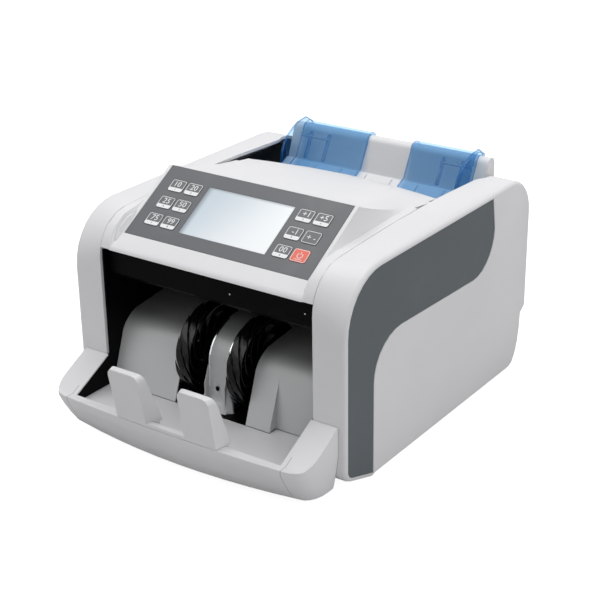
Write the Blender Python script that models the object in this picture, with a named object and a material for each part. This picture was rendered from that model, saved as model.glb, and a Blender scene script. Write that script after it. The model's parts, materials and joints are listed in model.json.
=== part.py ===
"""Banknote counter: rear hopper, friction feed, sloping key panel and front stacker.

X runs to the right, Y from front to back and Z up. Pieces are drawn with Y measured from the front
face of the side covers and Z from the underside of the base. `settle` then moves them so that the
origin lies under the middle of the counter, on the surface that its feet stand on.
"""
import math

import bmesh
import bpy
from mathutils import Matrix, Vector

# Casing
BODY_WIDTH = 0.270
BODY_DEPTH = 0.298
BODY_HEIGHT = 0.180
FOOT_HEIGHT = 0.004
WALL = 0.0028
GAP = 0.0003
OVERRUN = 0.002

# Side covers
EAR_WIDTH = 0.0293
HOPPER_EAR_WIDTH = 0.0265
SEAM_NARROWING = 0.0012
EDGE_ROUNDING = 0.0035
INNER_CORNER_RADIUS = 0.036
OUTER_CORNER_RADIUS = 0.050
REAR_CORNER_RADIUS = 0.036
TOE_RADIUS = 0.014
SKIRT_DROP = 0.0022
LEG_REAR_Y = 0.042
LEG_CLEARANCE = 0.0003
LEG_RISE_ANGLE = 18.3
LEG_BLEND = 0.0028
INNER_CROWN = 0.0035
OUTER_CROWN = 0.0004
REAR_FALL = 0.0015
STEP_HEIGHT = 0.050
STEP_DEPTH = 0.0075
STEP_DROP = 0.0035
REAR_TOE_LENGTH = 0.020
SEAM_TURN_Y = 0.060
CROWN_MIDDLE_Y = 0.118
SEAM_END_INSET = 0.111
RIM_TURN_INSET = 0.048
SEAM_SLOT = 0.0030
SEAM_SLOT_START_INSET = 0.1445
SEAM_SLOT_END_INSET = 0.117
COVER_TAIL_NARROWING = 0.0060

# Side inlays
INLAY_THICKNESS = 0.0010
INLAY_RECESS = 0.0018
INLAY_MARGIN = 0.0045
INLAY_BOTTOM_MARGIN = 0.0040
INLAY_LEG_WIDTH = 0.036
INLAY_KNEE_LENGTH = 0.040
INLAY_KNEE_HEIGHT = 0.0355
INLAY_BAND_Z = 0.1155
INLAY_BAND_END_Z = 0.111
INLAY_HEEL_INSET = 0.101
INLAY_HEEL_LENGTH = 0.0345
INLAY_HEEL_HEIGHT = 0.036
INLAY_TAIL_LEAN = 0.0045

# Centre cover and console
FRONT_BAND_DROP = 0.0259
BAND_RADIUS = 0.0075
PANEL_START_Y = 0.0157
PANEL_START_DROP = 0.0145
PANEL_LENGTH = 0.076
PANEL_RISE = 0.0393
PANEL_SIDE_MARGIN = 0.0146
CONSOLE_MARGIN = 0.0037
CONSOLE_FLANK = 0.0024
SHOULDER_WIDTH = 0.016
SHOULDER_END_INSET = 0.143
COVER_REAR_INSET = 0.090
COVER_REAR_DROP = 0.0025
COVER_REAR_BOW = 0.0115
COVER_FLANGE = 0.009
COVER_REAR_ROUNDING = 0.002
FIRST_ROW_SHARE = 1 / 3
FRONT_ARC_SHARE = 1 / 3.6
EDGE_FALL_POWER = 1.5
SHOULDER_FALL_POWER = 1.2

# Key panel
OVERLAY_THICKNESS = 0.0008
KEY_WIDTH = 0.0146
KEY_LENGTH = 0.0122
KEY_CORNER = 0.0018
KEY_EDGE_MARGIN = 0.0110
KEY_COLUMN_PITCH = 0.0168
KEY_ROW_PITCH = 0.0185
KEY_TOP_MARGIN = 0.0137
KEY_PROUD = 0.0004
KEY_TRAVEL = 0.0005
KEY_FLANGE = 0.0010
KEY_LIFT = 0.0004
KEY_STEM = 0.005
WINDOW_SIDE_MARGIN = 0.0057
WINDOW_BOTTOM = 0.0125
WINDOW_TOP = 0.0627
LENS_LEDGE = 0.0035
MODULE_MARGIN = 0.0025
MODULE_THICKNESS = 0.006
BOARD_THICKNESS = 0.0016
BOARD_MARGIN = 0.004
BOARD_POST_RADIUS = 0.0018
BOARD_POST_INSET = 0.0035

# Base pan
BASE_WALL = 0.0026
BASE_FRONT_HEIGHT = 0.0240
STANDOFF_RADIUS = 0.003
FOOT_RADIUS = 0.009
FOOT_PIN_RADIUS = 0.003
FOOT_PIN_LENGTH = 0.006
FOOT_INSET_X = 0.018
FOOT_FRONT_Y = 0.050
FOOT_REAR_INSET = 0.048

# Liners and chassis plates
LINER_THICKNESS = 0.0014
PLATE_THICKNESS = 0.0016
PLATE_GAP = 0.0004
PLATE_FRONT_Y = 0.012
PLATE_FOOT_GAP = 0.0006
PLATE_TOP_INSET = 0.0055
PLATE_REAR_INSET = 0.013
PLATE_CHAMFER = 0.030
BUSH_RADIUS = 0.0065
BUSH_LENGTH = 0.0022

# Front tray and note stop
ARM_WIDTH = 0.0233
ARM_TOP_Z = 0.058
LIP_TOP_Z = 0.037
LIP_REACH = 0.052
LIP_WIDTH = 0.0107
LIP_BOW = 0.004
LIP_CORNER_LENGTH = 0.020
LIP_CORNER_WIDTH = 0.017
TRAY_UNDERCUT = 0.0135
TRAY_UNDERCUT_BOW = 0.0065
TRAY_SIDE_UNDERCUT = 0.005
TRAY_BOTTOM_Z = 0.003
TRAY_FLOOR_Z = 0.030
TRAY_WALL = 0.0025
ARM_LEDGE = 0.0012
TRAY_RING_SHARES = ((0, 1), (0.08, 0.84), (0.35, 0.52), (0.70, 0.16), (0.90, 0))
HOLLOW_RING_SHARES = ((-0.1, 1), (0.08, 0.84), (0.35, 0.52))
HOLLOW_TOP_SHARE = 0.3
STOP_CENTRE = 0.0345
STOP_BASE_WIDTH = 0.036
STOP_TOP_WIDTH = 0.036
STOP_TOP_SHIFT = 0.0006
STOP_SIDE_INSET = 0.0028
STOP_TOP_Z = 0.084
STOP_LEAN = 0.008
STOP_BASE_DEPTH = 0.0165
STOP_TOP_DEPTH = 0.0065
STOP_BAR_DEPTH = 0.0055
STOP_CORNER = 0.006
STOP_BAR_HALF = 0.049
STOP_BAR_HEIGHT = 0.0028

# Stacker
SHEET_THICKNESS = 0.0022
SHEET_FOOT_Y = 0.0042
SHEET_KNEE_Y = 0.0200
SHEET_KNEE_Z = 0.0735
SHEET_SHOULDER_Y = 0.0370
SHEET_SHOULDER_Z = 0.0868
SHEET_REAR_Y = 0.0920
SHEET_REAR_Z = 0.0932
SHEET_RECESS_X = 0.058
SHEET_RECESS_DEPTH = 0.009
SHEET_RECESS_TOP_Z = 0.0675
SHEET_BRIDGE = 0.0065
SHEET_BEND_REACH_SHARE = 0.30
SHEET_BEND_RISE_SHARE = 0.72
SHEET_BEND_STEPS = 6
STACKER_Y = 0.042
STACKER_Z = 0.068
WHEEL_RADIUS = 0.039
WHEEL_ROOT_RADIUS = 0.013
WHEEL_THICKNESS = 0.014
WHEEL_CENTRE = 0.026
WHEEL_SIDE_ROOM = 0.0035
VANE_COUNT = 12
VANE_THICKNESS = 0.0030
VANE_TIP = 0.0016
VANE_SWEEP = 82.0
VANE_BEND = 1.9
VANE_STEPS = 6
STACKER_SHAFT_RADIUS = 0.003
NOSE_HALF_WIDTH = 0.0105
NOSE_FOOT_Y = 0.0150
NOSE_FACE_Y = 0.0180
NOSE_TURN_Z = 0.068
NOSE_CREST_Y = 0.058
NOSE_CREST_Z = 0.0985
NOSE_FLANGE = 0.008
NOSE_LIP = 0.0035
NOSE_LIP_Z = 0.052

# Hopper
HOPPER_FLOOR_REAR_INSET = 0.036
HOPPER_FLOOR_REAR_DROP = 0.020
HOPPER_FLOOR_FRONT_INSET = 0.101
HOPPER_FLOOR_FALL = 0.032
HOPPER_FLOOR_THICKNESS = 0.0025
FLOOR_RIB_HEIGHT = 0.0012
FLOOR_RIB_WIDTH = 0.0022
FLOOR_RIB_COUNT = 8
FLOOR_RIB_INSET_SHARE = 0.03
BACKREST_FOOT_INSET = 0.0345
BACKREST_LEAN = 0.0105
BACKREST_RISE = 0.0103
BACKREST_THICKNESS = 0.0122
BACKREST_REAR_DEPTH = 0.040
GUIDE_SHEET = 0.0020
GUIDE_CLEARANCE = 0.0005
GUIDE_WING_INSET = 0.0110
GUIDE_INNER_LEFT = 0.020
GUIDE_INNER_RIGHT = 0.026
GUIDE_HOOK_DROP = 0.015
GUIDE_TOE = 0.046
GUIDE_WING_RISE = 0.0067
GUIDE_WING_REACH = 0.028
GUIDE_RIB_HEIGHT = 0.0020
GUIDE_RIB_INSET = 0.0120
GUIDE_RIB_PITCH = 0.0200
GUIDE_BRIDGE_DROP = 0.0050

# Feed
FEED_INSET = 0.130
FEED_RADIUS = 0.022
FEED_PROUD = 0.0015
FEED_SHAFT_RADIUS = 0.004
PICKUP_INSET = 0.079
PICKUP_RADIUS = 0.015
PICKUP_PROUD = 0.0015
PICKUP_SHAFT_RADIUS = 0.003
TYRE_CENTRE = 0.035
TYRE_WIDTH = 0.020
HUB_SHARE = 0.45
TYRE_SIDE_ROOM = 0.002
BED_THICKNESS = 0.002
BED_FRONT_Y = 0.084
BED_FRONT_LIFT = 0.0065
BED_REAR_DROP = 0.0015
PATH_HEIGHT = 0.003
RETARD_RADIUS = 0.010
RETARD_GAP = 0.0008
RETARD_AXLE_RADIUS = 0.003
RETARD_CHEEK = 0.002
GUIDE_BAR_LIFT = 0.012
TIE_ROD_RADIUS = 0.004
CEILING_FRONT_Y = 0.0085
CEILING_Z = 0.127
CEILING_KNEE_Y = 0.048
CEILING_TOP_Z = 0.1505
CEILING_THICKNESS = 0.002
CEILING_BEND_REACH_SHARE = 0.60
CEILING_BEND_RISE_SHARE = 0.45

# Drive
BELT_WIDTH = 0.006
BELT_THICKNESS = 0.0013
BELT_OFFSET = 0.0028
PULLEY_RADIUS = 0.016
MOTOR_PULLEY_RADIUS = 0.008
PICKUP_PULLEY_RADIUS = 0.010
MOTOR_Y = 0.118
MOTOR_Z = 0.038
MOTOR_RADIUS = 0.018
MOTOR_LENGTH = 0.052
MOTOR_SHAFT_RADIUS = 0.0025
MOTOR_BORE_DEPTH = 0.012

# Electrics and rear cover
MAIN_BOARD_Z = 0.012
MAIN_BOARD_LEFT = 0.050
MAIN_BOARD_RIGHT = 0.078
MAIN_BOARD_FRONT_INSET = 0.168
MAIN_BOARD_REAR_INSET = 0.076
TRANSFORMER_SIZE = 0.036
TRANSFORMER_INSET = 0.0072
TRANSFORMER_HEIGHT = 0.029
CAPACITOR_RADIUS = 0.008
CAPACITOR_HEIGHT = 0.022
CAPACITOR_PITCH = 0.020
CAPACITOR_COUNT = 3
REAR_RECESS = 0.0025
REAR_COVER_TOP_GAP = 0.0006
VENT_COUNT = 9
VENT_WIDTH = 0.0025
VENT_HEIGHT = 0.040
VENT_PITCH = 0.0075
VENT_EDGE_INSET = 0.0635
VENT_CENTRE_Z = 0.100
INLET_EDGE_INSET = 0.0485
INLET_CENTRE_Z = 0.090
INLET_WIDTH = 0.050
INLET_HEIGHT = 0.028
INLET_FLANGE = 0.0017
INLET_LIP = 0.002
INLET_BODY_DEPTH = 0.024
SOCKET_WIDTH = 0.024
SOCKET_HEIGHT = 0.016
SOCKET_DEPTH = 0.017
SOCKET_CHAMFER = 0.005
SOCKET_OFFSET = 0.0105
PIN_WIDTH = 0.002
PIN_HEIGHT = 0.004
PIN_LENGTH = 0.014
PIN_SPACING = 0.007
PIN_DROP = 0.0022
ROCKER_OFFSET = 0.0145
ROCKER_WIDTH = 0.0125
ROCKER_HALF_HEIGHT = 0.0088
ROCKER_WAIST = 0.0035
ROCKER_TIP = 0.0058
ROCKER_BACK = 0.006
ROCKER_BACK_SHARE = 0.7
ROCKER_PIVOT_DEPTH = 0.00754
ROCKER_BORE_HALF = 0.0110
ROCKER_TRUNNION = 0.0015
ROCKER_TILT = 9.0

# Worked out from the sizes above
SEAM_END_Y = BODY_DEPTH - SEAM_END_INSET
RIM_TURN_Y = BODY_DEPTH - RIM_TURN_INSET
SEAM_SLOT_START_Y = BODY_DEPTH - SEAM_SLOT_START_INSET
SEAM_SLOT_END_Y = BODY_DEPTH - SEAM_SLOT_END_INSET
SHOULDER_END_Y = BODY_DEPTH - SHOULDER_END_INSET
COVER_REAR_Y = BODY_DEPTH - COVER_REAR_INSET
INLAY_HEEL_Y = BODY_DEPTH - INLAY_HEEL_INSET
HOPPER_FLOOR_REAR_Y = BODY_DEPTH - HOPPER_FLOOR_REAR_INSET
HOPPER_FLOOR_FRONT_Y = BODY_DEPTH - HOPPER_FLOOR_FRONT_INSET
BACKREST_FOOT_Y = BODY_DEPTH - BACKREST_FOOT_INSET
FEED_Y = BODY_DEPTH - FEED_INSET
PICKUP_Y = BODY_DEPTH - PICKUP_INSET
MAIN_BOARD_FRONT_Y = BODY_DEPTH - MAIN_BOARD_FRONT_INSET
MAIN_BOARD_REAR_Y = BODY_DEPTH - MAIN_BOARD_REAR_INSET
HALF = BODY_WIDTH / 2
OPENING_HALF = HALF - EAR_WIDTH
HOPPER_HALF = HALF - HOPPER_EAR_WIDTH
SEAM_END_HALF = OPENING_HALF - SEAM_NARROWING
OPENING_TOP = BODY_HEIGHT - FRONT_BAND_DROP
PANEL_TILT = math.asin(PANEL_RISE / PANEL_LENGTH)
PANEL_HALF = OPENING_HALF - PANEL_SIDE_MARGIN
PANEL_START_Z = BODY_HEIGHT - PANEL_START_DROP
CONSOLE_HALF = PANEL_HALF + CONSOLE_MARGIN
RIDGE_Y = PANEL_START_Y + PANEL_LENGTH * math.cos(PANEL_TILT)
RIDGE_Z = PANEL_START_Z + PANEL_RISE
COVER_REAR_Z = BODY_HEIGHT - COVER_REAR_DROP
REAR_HEIGHT = BODY_HEIGHT - REAR_FALL
LEG_Z = LEG_CLEARANCE - FOOT_HEIGHT
LEG_RISE = math.radians(LEG_RISE_ANGLE)
LINER_OUTER = OPENING_HALF - GAP
LINER_INNER = LINER_OUTER - LINER_THICKNESS
PLATE_INNER = LINER_OUTER + PLATE_GAP
PLATE_OUTER = PLATE_INNER + PLATE_THICKNESS
INNER_SPAN = LINER_INNER - GAP
GUIDE_WING_X = LINER_INNER - GUIDE_WING_INSET
INLET_CENTRE_X = HOPPER_HALF - INLET_EDGE_INSET
VENT_CENTRE_X = HOPPER_HALF - VENT_EDGE_INSET
FLOOR_REAR_Z = BODY_HEIGHT - HOPPER_FLOOR_REAR_DROP
FLOOR_FRONT_Z = FLOOR_REAR_Z - HOPPER_FLOOR_FALL
FLOOR_ANGLE = math.atan2(HOPPER_FLOOR_FALL, HOPPER_FLOOR_REAR_Y - HOPPER_FLOOR_FRONT_Y)
BED_REAR_Z = FLOOR_FRONT_Z - BED_REAR_DROP
BED_FRONT_Z = SHEET_REAR_Z + BED_FRONT_LIFT
BED_ANGLE = math.atan2(BED_REAR_Z - BED_FRONT_Z, HOPPER_FLOOR_FRONT_Y - GAP - BED_FRONT_Y)
BELT_INNER = PLATE_OUTER + BELT_OFFSET
BELT_OUTER = BELT_INNER + BELT_WIDTH
Y_SHIFT = (LIP_REACH + STOP_LEAN - BODY_DEPTH) / 2
SHIFT = Vector((0, Y_SHIFT, FOOT_HEIGHT))

ROUND_STEPS = 20
SMALL_STEPS = 12
BELT_STEPS = 8


def material(name, colour, roughness, metallic=0.0, alpha=1.0):
    made = bpy.data.materials.new(name)
    made.use_nodes = True
    shader = made.node_tree.nodes["Principled BSDF"]
    shader.inputs["Base Color"].default_value = (*colour, 1)
    shader.inputs["Roughness"].default_value = roughness
    shader.inputs["Metallic"].default_value = metallic
    shader.inputs["Alpha"].default_value = alpha
    return made


def arc(centre, radii, start, end, steps):
    """Points of an elliptical arc between two angles in degrees, both ends included."""
    angles = [math.radians(start + (end - start) * i / steps) for i in range(steps + 1)]
    return [(centre[0] + radii[0] * math.cos(a), centre[1] + radii[1] * math.sin(a)) for a in angles]


def spread(start, end, count):
    """Evenly spaced values from start to end."""
    return [start + (end - start) * i / (count - 1) for i in range(count)]


def mix(a, b, share):
    return a + (b - a) * share


def offset_path(path, distance):
    """An open path moved to its left by distance, with mitred corners."""
    directions = [(Vector(b) - Vector(a)).normalized() for a, b in zip(path, path[1:])]
    normals = [Vector((-d.y, d.x)) for d in directions]
    before = normals[:1] + normals
    after = normals + normals[-1:]
    moved = []
    for point, n1, n2 in zip(path, before, after):
        mitre = (n1 + n2) / (1 + n1.dot(n2))
        moved.append(tuple(Vector(point) + mitre * distance))
    return moved


def band(path, thickness):
    """The closed outline of a strip that lies on the left of an open path."""
    return list(path) + offset_path(path, thickness)[::-1]


def place(axis, a, b, along):
    """A point from outline coordinates a, b and its place along the X, Y or Z axis."""
    return {"X": (along, a, b), "Y": (a, along, b), "Z": (a, b, along)}[axis]


def loft(rings, looped=False):
    """Skin over equal rings of points, capped at both ends or joined into a loop."""
    count = len(rings[0])
    vertices = [point for ring in rings for point in ring]
    pairs = len(rings) if looped else len(rings) - 1
    faces = []
    for r in range(pairs):
        low = r * count
        high = (r + 1) % len(rings) * count
        for i in range(count):
            j = (i + 1) % count
            faces.append((low + i, low + j, high + j, high + i))
    if not looped:
        faces.append(tuple(range(count)))
        faces.append(tuple(range(len(vertices) - count, len(vertices))))
    return vertices, faces


def prism(outline, axis, low, high):
    return loft([[place(axis, a, b, along) for a, b in outline] for along in (low, high)])


def box(low, high):
    outline = [(low[0], low[1]), (high[0], low[1]), (high[0], high[1]), (low[0], high[1])]
    return prism(outline, "Z", low[2], high[2])


def turned(profile, centre, steps=ROUND_STEPS):
    """A solid turned about a line along X through centre (y, z); profile holds (x, radius)."""
    rings = []
    for x, radius in profile:
        circle = arc(centre, (radius, radius), 0, 360 * (steps - 1) / steps, steps - 1)
        rings.append([(x, y, z) for y, z in circle])
    return loft(rings)


def bore(low, high, radius, centre, steps=SMALL_STEPS):
    """A cutter along X whose flats, not its corners, lie at radius."""
    outside = radius / math.cos(math.pi / steps)
    return turned([(low, outside), (high, outside)], centre, steps)


def upright(centre, radius, low, high, steps=SMALL_STEPS):
    """A round post along Z."""
    return prism(arc(centre, (radius, radius), 0, 360 * (steps - 1) / steps, steps - 1), "Z", low, high)


def rounded_rectangle(low, high, radius, steps=2):
    corners = [(high[0] - radius, high[1] - radius, 0), (low[0] + radius, high[1] - radius, 90),
               (low[0] + radius, low[1] + radius, 180), (high[0] - radius, low[1] + radius, 270)]
    points = []
    for x, y, angle in corners:
        points += arc((x, y), (radius, radius), angle, angle + 90, steps)
    return points


def on_panel(geometry):
    """Moves geometry drawn flat, with X across, Y up the slope and Z out, onto the panel plane."""
    tilt = Matrix.Translation((0, PANEL_START_Y, PANEL_START_Z)) @ Matrix.Rotation(PANEL_TILT, 4, "X")
    return [tuple(tilt @ Vector(v)) for v in geometry[0]], geometry[1]


def tilted(geometry, centre, degrees):
    """Geometry turned about a line along X through centre (y, z)."""
    pivot = Vector((0, centre[0], centre[1]))
    turn = Matrix.Rotation(math.radians(degrees), 4, "X")
    return [tuple(turn @ (Vector(v) - pivot) + pivot) for v in geometry[0]], geometry[1]


def mirrored(geometry):
    return [(-x, y, z) for x, y, z in geometry[0]], geometry[1]


def solid(name, geometry):
    """An object from geometry, with its faces turned outwards."""
    mesh = bpy.data.meshes.new(name)
    mesh.from_pydata(geometry[0], [], geometry[1])
    work = bmesh.new()
    work.from_mesh(mesh)
    bmesh.ops.recalc_face_normals(work, faces=work.faces)
    work.to_mesh(mesh)
    work.free()
    made = bpy.data.objects.new(name, mesh)
    bpy.context.scene.collection.objects.link(made)
    return made


def combine(target, geometry, operation):
    """Cuts, joins or keeps the common part of target and another closed shape."""
    other = solid("tool", geometry)
    modifier = target.modifiers.new("combine", "BOOLEAN")
    modifier.operation = operation
    modifier.solver = "EXACT"
    modifier.object = other
    graph = bpy.context.evaluated_depsgraph_get()
    result = bpy.data.meshes.new_from_object(target.evaluated_get(graph))
    target.modifiers.clear()
    target.data = result
    bpy.data.objects.remove(other)


def cut(target, *shapes):
    for shape in shapes:
        combine(target, shape, "DIFFERENCE")


def join(target, *shapes):
    for shape in shapes:
        combine(target, shape, "UNION")


def settle(piece, finish, pivot=(0, 0, 0), smooth=False):
    """Gives a piece its finish, puts its origin on pivot and moves it to its place."""
    piece.data.transform(Matrix.Translation(-Vector(pivot)))
    piece.data.name = piece.name
    piece.data.materials.clear()
    piece.data.materials.append(finish)
    piece.location = Vector(pivot) + SHIFT
    if smooth:
        piece.data.shade_smooth()
        piece.data.set_sharp_from_angle(angle=math.radians(30))


def crown_height(y, radius, crown):
    """Height of a side cover's top at y, for a front corner radius and a rise at mid length."""
    rear_y = BODY_DEPTH - REAR_CORNER_RADIUS
    if y <= radius:
        across = max(0, radius * radius - (radius - y) ** 2)
        return BODY_HEIGHT - radius + math.sqrt(across)
    share = (y - radius) / (rear_y - radius)
    return mix(BODY_HEIGHT, REAR_HEIGHT, share) + crown * 4 * share * (1 - share)


def leg_height(y, inset=0):
    """Underside of a cover's front leg, which rises towards the front."""
    return LEG_Z + (LEG_REAR_Y - y) * math.tan(LEG_RISE) + inset / math.cos(LEG_RISE)


def toe_arc(inset):
    """Rounded corner between the front face and the underside of the leg, as (y, z)."""
    drop = (TOE_RADIUS + math.sin(LEG_RISE) * (LEG_REAR_Y - TOE_RADIUS)) / math.cos(LEG_RISE)
    radius = TOE_RADIUS - inset
    return arc((TOE_RADIUS, LEG_Z + drop), (radius, radius), 270 - LEG_RISE_ANGLE, 180, 4)


def side_outline(radius, crown, inset):
    """Side profile of a cover as (y, z), moved inwards by inset, from the toe round to the heel."""
    rear_y = BODY_DEPTH - REAR_CORNER_RADIUS
    leg_y = LEG_REAR_Y - inset
    points = [(LEG_REAR_Y + LEG_BLEND - inset / 3, inset - SKIRT_DROP), (leg_y, leg_height(leg_y, inset))]
    points.append((TOE_RADIUS, leg_height(TOE_RADIUS, inset)))
    points += toe_arc(inset)
    points += arc((radius, BODY_HEIGHT - radius), (radius - inset, radius - inset), 180, 90, 8)
    for y in (SEAM_TURN_Y, CROWN_MIDDLE_Y, SEAM_END_Y, RIM_TURN_Y):
        points.append((y, crown_height(y, radius, crown) - inset))
    rear_radius = REAR_CORNER_RADIUS - inset
    points += arc((rear_y, REAR_HEIGHT - REAR_CORNER_RADIUS), (rear_radius, rear_radius), 90, 0, 7)
    points.append((BODY_DEPTH - inset, STEP_HEIGHT + inset))
    toe_centre = (BODY_DEPTH - STEP_DEPTH - REAR_TOE_LENGTH, STEP_HEIGHT - STEP_DROP)
    points += arc(toe_centre, (REAR_TOE_LENGTH - inset, toe_centre[1] + SKIRT_DROP - inset), 0, -90, 5)
    return points


def seam_half(y):
    """Half the width between the side covers' inner edges on top, at y."""
    if y <= SEAM_TURN_Y:
        return OPENING_HALF
    if y <= RIM_TURN_Y:
        return mix(OPENING_HALF, SEAM_END_HALF, min(1, (y - SEAM_TURN_Y) / (SEAM_END_Y - SEAM_TURN_Y)))
    return HOPPER_HALF


def inner_edge(y, z):
    """Where a side cover's rim ends towards the middle, for a point of its outline."""
    return HOPPER_HALF if z < STEP_HEIGHT and y >= TOE_RADIUS else seam_half(y)


def inlay_outline(grow):
    """Outline of the dark side inlay as (y, z), made larger all round by grow."""
    front = INLAY_MARGIN - grow
    leg = INLAY_MARGIN + INLAY_LEG_WIDTH + grow
    radius = OUTER_CORNER_RADIUS - INLAY_MARGIN + grow
    centre = (OUTER_CORNER_RADIUS, BODY_HEIGHT - OUTER_CORNER_RADIUS)
    inset = INLAY_BOTTOM_MARGIN - grow
    points = toe_arc(inset)
    points = [(max(y, front), z) for y, z in points]
    points += arc(centre, (radius, radius), 180, 90, 8)
    heel_end = INLAY_HEEL_Y + INLAY_HEEL_LENGTH + grow
    rear_top_y = heel_end - INLAY_TAIL_LEAN
    for y in (SEAM_TURN_Y, CROWN_MIDDLE_Y, rear_top_y):
        top = crown_height(y, OUTER_CORNER_RADIUS, OUTER_CROWN) - INLAY_MARGIN + grow
        points.append((y, top))
    heel_z = INLAY_BAND_END_Z + INLAY_HEEL_HEIGHT
    points += arc((INLAY_HEEL_Y, heel_z), (INLAY_HEEL_LENGTH + grow, INLAY_HEEL_HEIGHT + grow), 0, -90, 7)
    knee = (INLAY_MARGIN + INLAY_LEG_WIDTH + INLAY_KNEE_LENGTH, INLAY_BAND_Z - INLAY_KNEE_HEIGHT)
    points += arc(knee, (INLAY_KNEE_LENGTH - grow, INLAY_KNEE_HEIGHT - grow), 90, 180, 7)
    points.append((leg, leg_height(leg, inset)))
    return points


def side_covers():
    finish = material("side_cover_white", (0.78, 0.79, 0.81), 0.42)
    rings = []
    for turn in (90, 60, 30, 0):
        inset = EDGE_ROUNDING * (1 - math.cos(math.radians(turn)))
        x = HALF - EDGE_ROUNDING * (1 - math.sin(math.radians(turn)))
        outline = side_outline(OUTER_CORNER_RADIUS, OUTER_CROWN, inset)
        rings.append([(x, y, z) for y, z in outline])
    for inset in (0, WALL):
        outline = side_outline(INNER_CORNER_RADIUS, INNER_CROWN, inset)
        edges = side_outline(INNER_CORNER_RADIUS, INNER_CROWN, 0)
        rims = [inner_edge(y, z) for y, z in edges]
        rings.append([(x, y, z) for x, (y, z) in zip(rims, outline)])
    floor = HALF - WALL - INLAY_RECESS / 2
    rings.append([(floor, y, z) for y, z in side_outline(OUTER_CORNER_RADIUS, OUTER_CROWN, WALL)])
    recess = prism(inlay_outline(GAP), "X", HALF - INLAY_RECESS, HALF + OVERRUN)
    for side, turn in (("right", lambda g: g), ("left", mirrored)):
        cover = solid(side + "_side_cover", turn(loft(rings)))
        cut(cover, turn(recess))
        settle(cover, finish, smooth=True)


def side_inlays():
    finish = material("inlay_grey", (0.11, 0.13, 0.145), 0.5)
    low = HALF - INLAY_RECESS + GAP
    shape = prism(inlay_outline(0), "X", low, low + INLAY_THICKNESS)
    settle(solid("right_side_inlay", shape), finish)
    settle(solid("left_side_inlay", mirrored(shape)), finish)


def console_height(y):
    """Height of the console's middle at y: the panel plane in front, the falling top behind."""
    if y <= RIDGE_Y:
        return PANEL_START_Z + (y - PANEL_START_Y) * math.tan(PANEL_TILT)
    return mix(RIDGE_Z, COVER_REAR_Z, (y - RIDGE_Y) / (COVER_REAR_Y - RIDGE_Y))


def border_height(y):
    """Height of the centre cover beside the console, level with the side covers."""
    side = crown_height(y, INNER_CORNER_RADIUS, INNER_CROWN)
    if y <= SHOULDER_END_Y:
        return side
    return mix(side, COVER_REAR_Z, (y - SHOULDER_END_Y) / (COVER_REAR_Y - SHOULDER_END_Y))


def flank_height(y, power):
    """Height of the console's upper edge: behind the ridge it falls to the border by a power."""
    if y <= RIDGE_Y:
        return console_height(y)
    left = max(0, (SHOULDER_END_Y - y) / (SHOULDER_END_Y - RIDGE_Y))
    edge = border_height(y) + (RIDGE_Z - border_height(RIDGE_Y)) * left ** power
    return min(edge, console_height(y))


def shoulder_height(y):
    """Height halfway across the shoulder, between the console's middle and its upper edge."""
    return mix(flank_height(y, SHOULDER_FALL_POWER), console_height(y), 1 / 2)


def cover_rows():
    """Stations in y on the cover's top, from the front rounding to the rear edge."""
    front = spread(INNER_CORNER_RADIUS * FIRST_ROW_SHARE, RIDGE_Y, 7)
    shoulder = spread(RIDGE_Y, SHOULDER_END_Y, 6)[1:]
    rear = spread(SHOULDER_END_Y, COVER_REAR_Y, 4)[1:]
    return front + shoulder + rear


def cover_profile(height, border):
    """Outer profile (y, z) of one section of the centre cover, from the opening to the rear flange."""
    if border:
        radius = INNER_CORNER_RADIUS
        centre = (radius, BODY_HEIGHT - radius)
        start = 180 - math.degrees(math.asin((OPENING_TOP - centre[1]) / radius))
        stop = 180 - math.degrees(math.acos(1 - FRONT_ARC_SHARE))
        points = arc(centre, (radius, radius), start, stop, 4)
    else:
        join_z = PANEL_START_Z - PANEL_START_Y * math.tan(PANEL_TILT)
        reach = BAND_RADIUS * math.tan((math.pi / 2 - PANEL_TILT) / 2)
        centre = (BAND_RADIUS, join_z - reach)
        start = 180 - math.degrees(math.asin(max(0, OPENING_TOP - centre[1]) / BAND_RADIUS))
        stop = 90 + math.degrees(PANEL_TILT)
        points = arc(centre, (BAND_RADIUS, BAND_RADIUS), start, stop, 4)
    points[0] = (points[0][0], OPENING_TOP)
    points += [(y, height(y)) for y in cover_rows()]
    rear_y, rear_z = points.pop()
    points.append((rear_y - COVER_REAR_ROUNDING, rear_z))
    points.append((rear_y, rear_z - COVER_REAR_ROUNDING))
    points.append((rear_y, rear_z - COVER_FLANGE))
    return points


def cover_section(outer_x, inner_x, height, border=False):
    """One closed section of the centre cover: outer points, then the wall's inner points."""
    outer = cover_profile(height, border)
    inner = offset_path(outer, -WALL)
    section = []
    for reach, line in ((outer_x, outer), (inner_x, inner)):
        ring = []
        for (y, z), (outer_y, _) in zip(line, outer):
            x = reach(outer_y)
            bow = COVER_REAR_BOW * min(1, abs(x) / CONSOLE_HALF) ** 2
            share = max(0, (outer_y - SHOULDER_END_Y) / (COVER_REAR_Y - SHOULDER_END_Y))
            ring.append((x, y - bow * share, z))
        section += ring if line is outer else ring[::-1]
    return section


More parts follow.
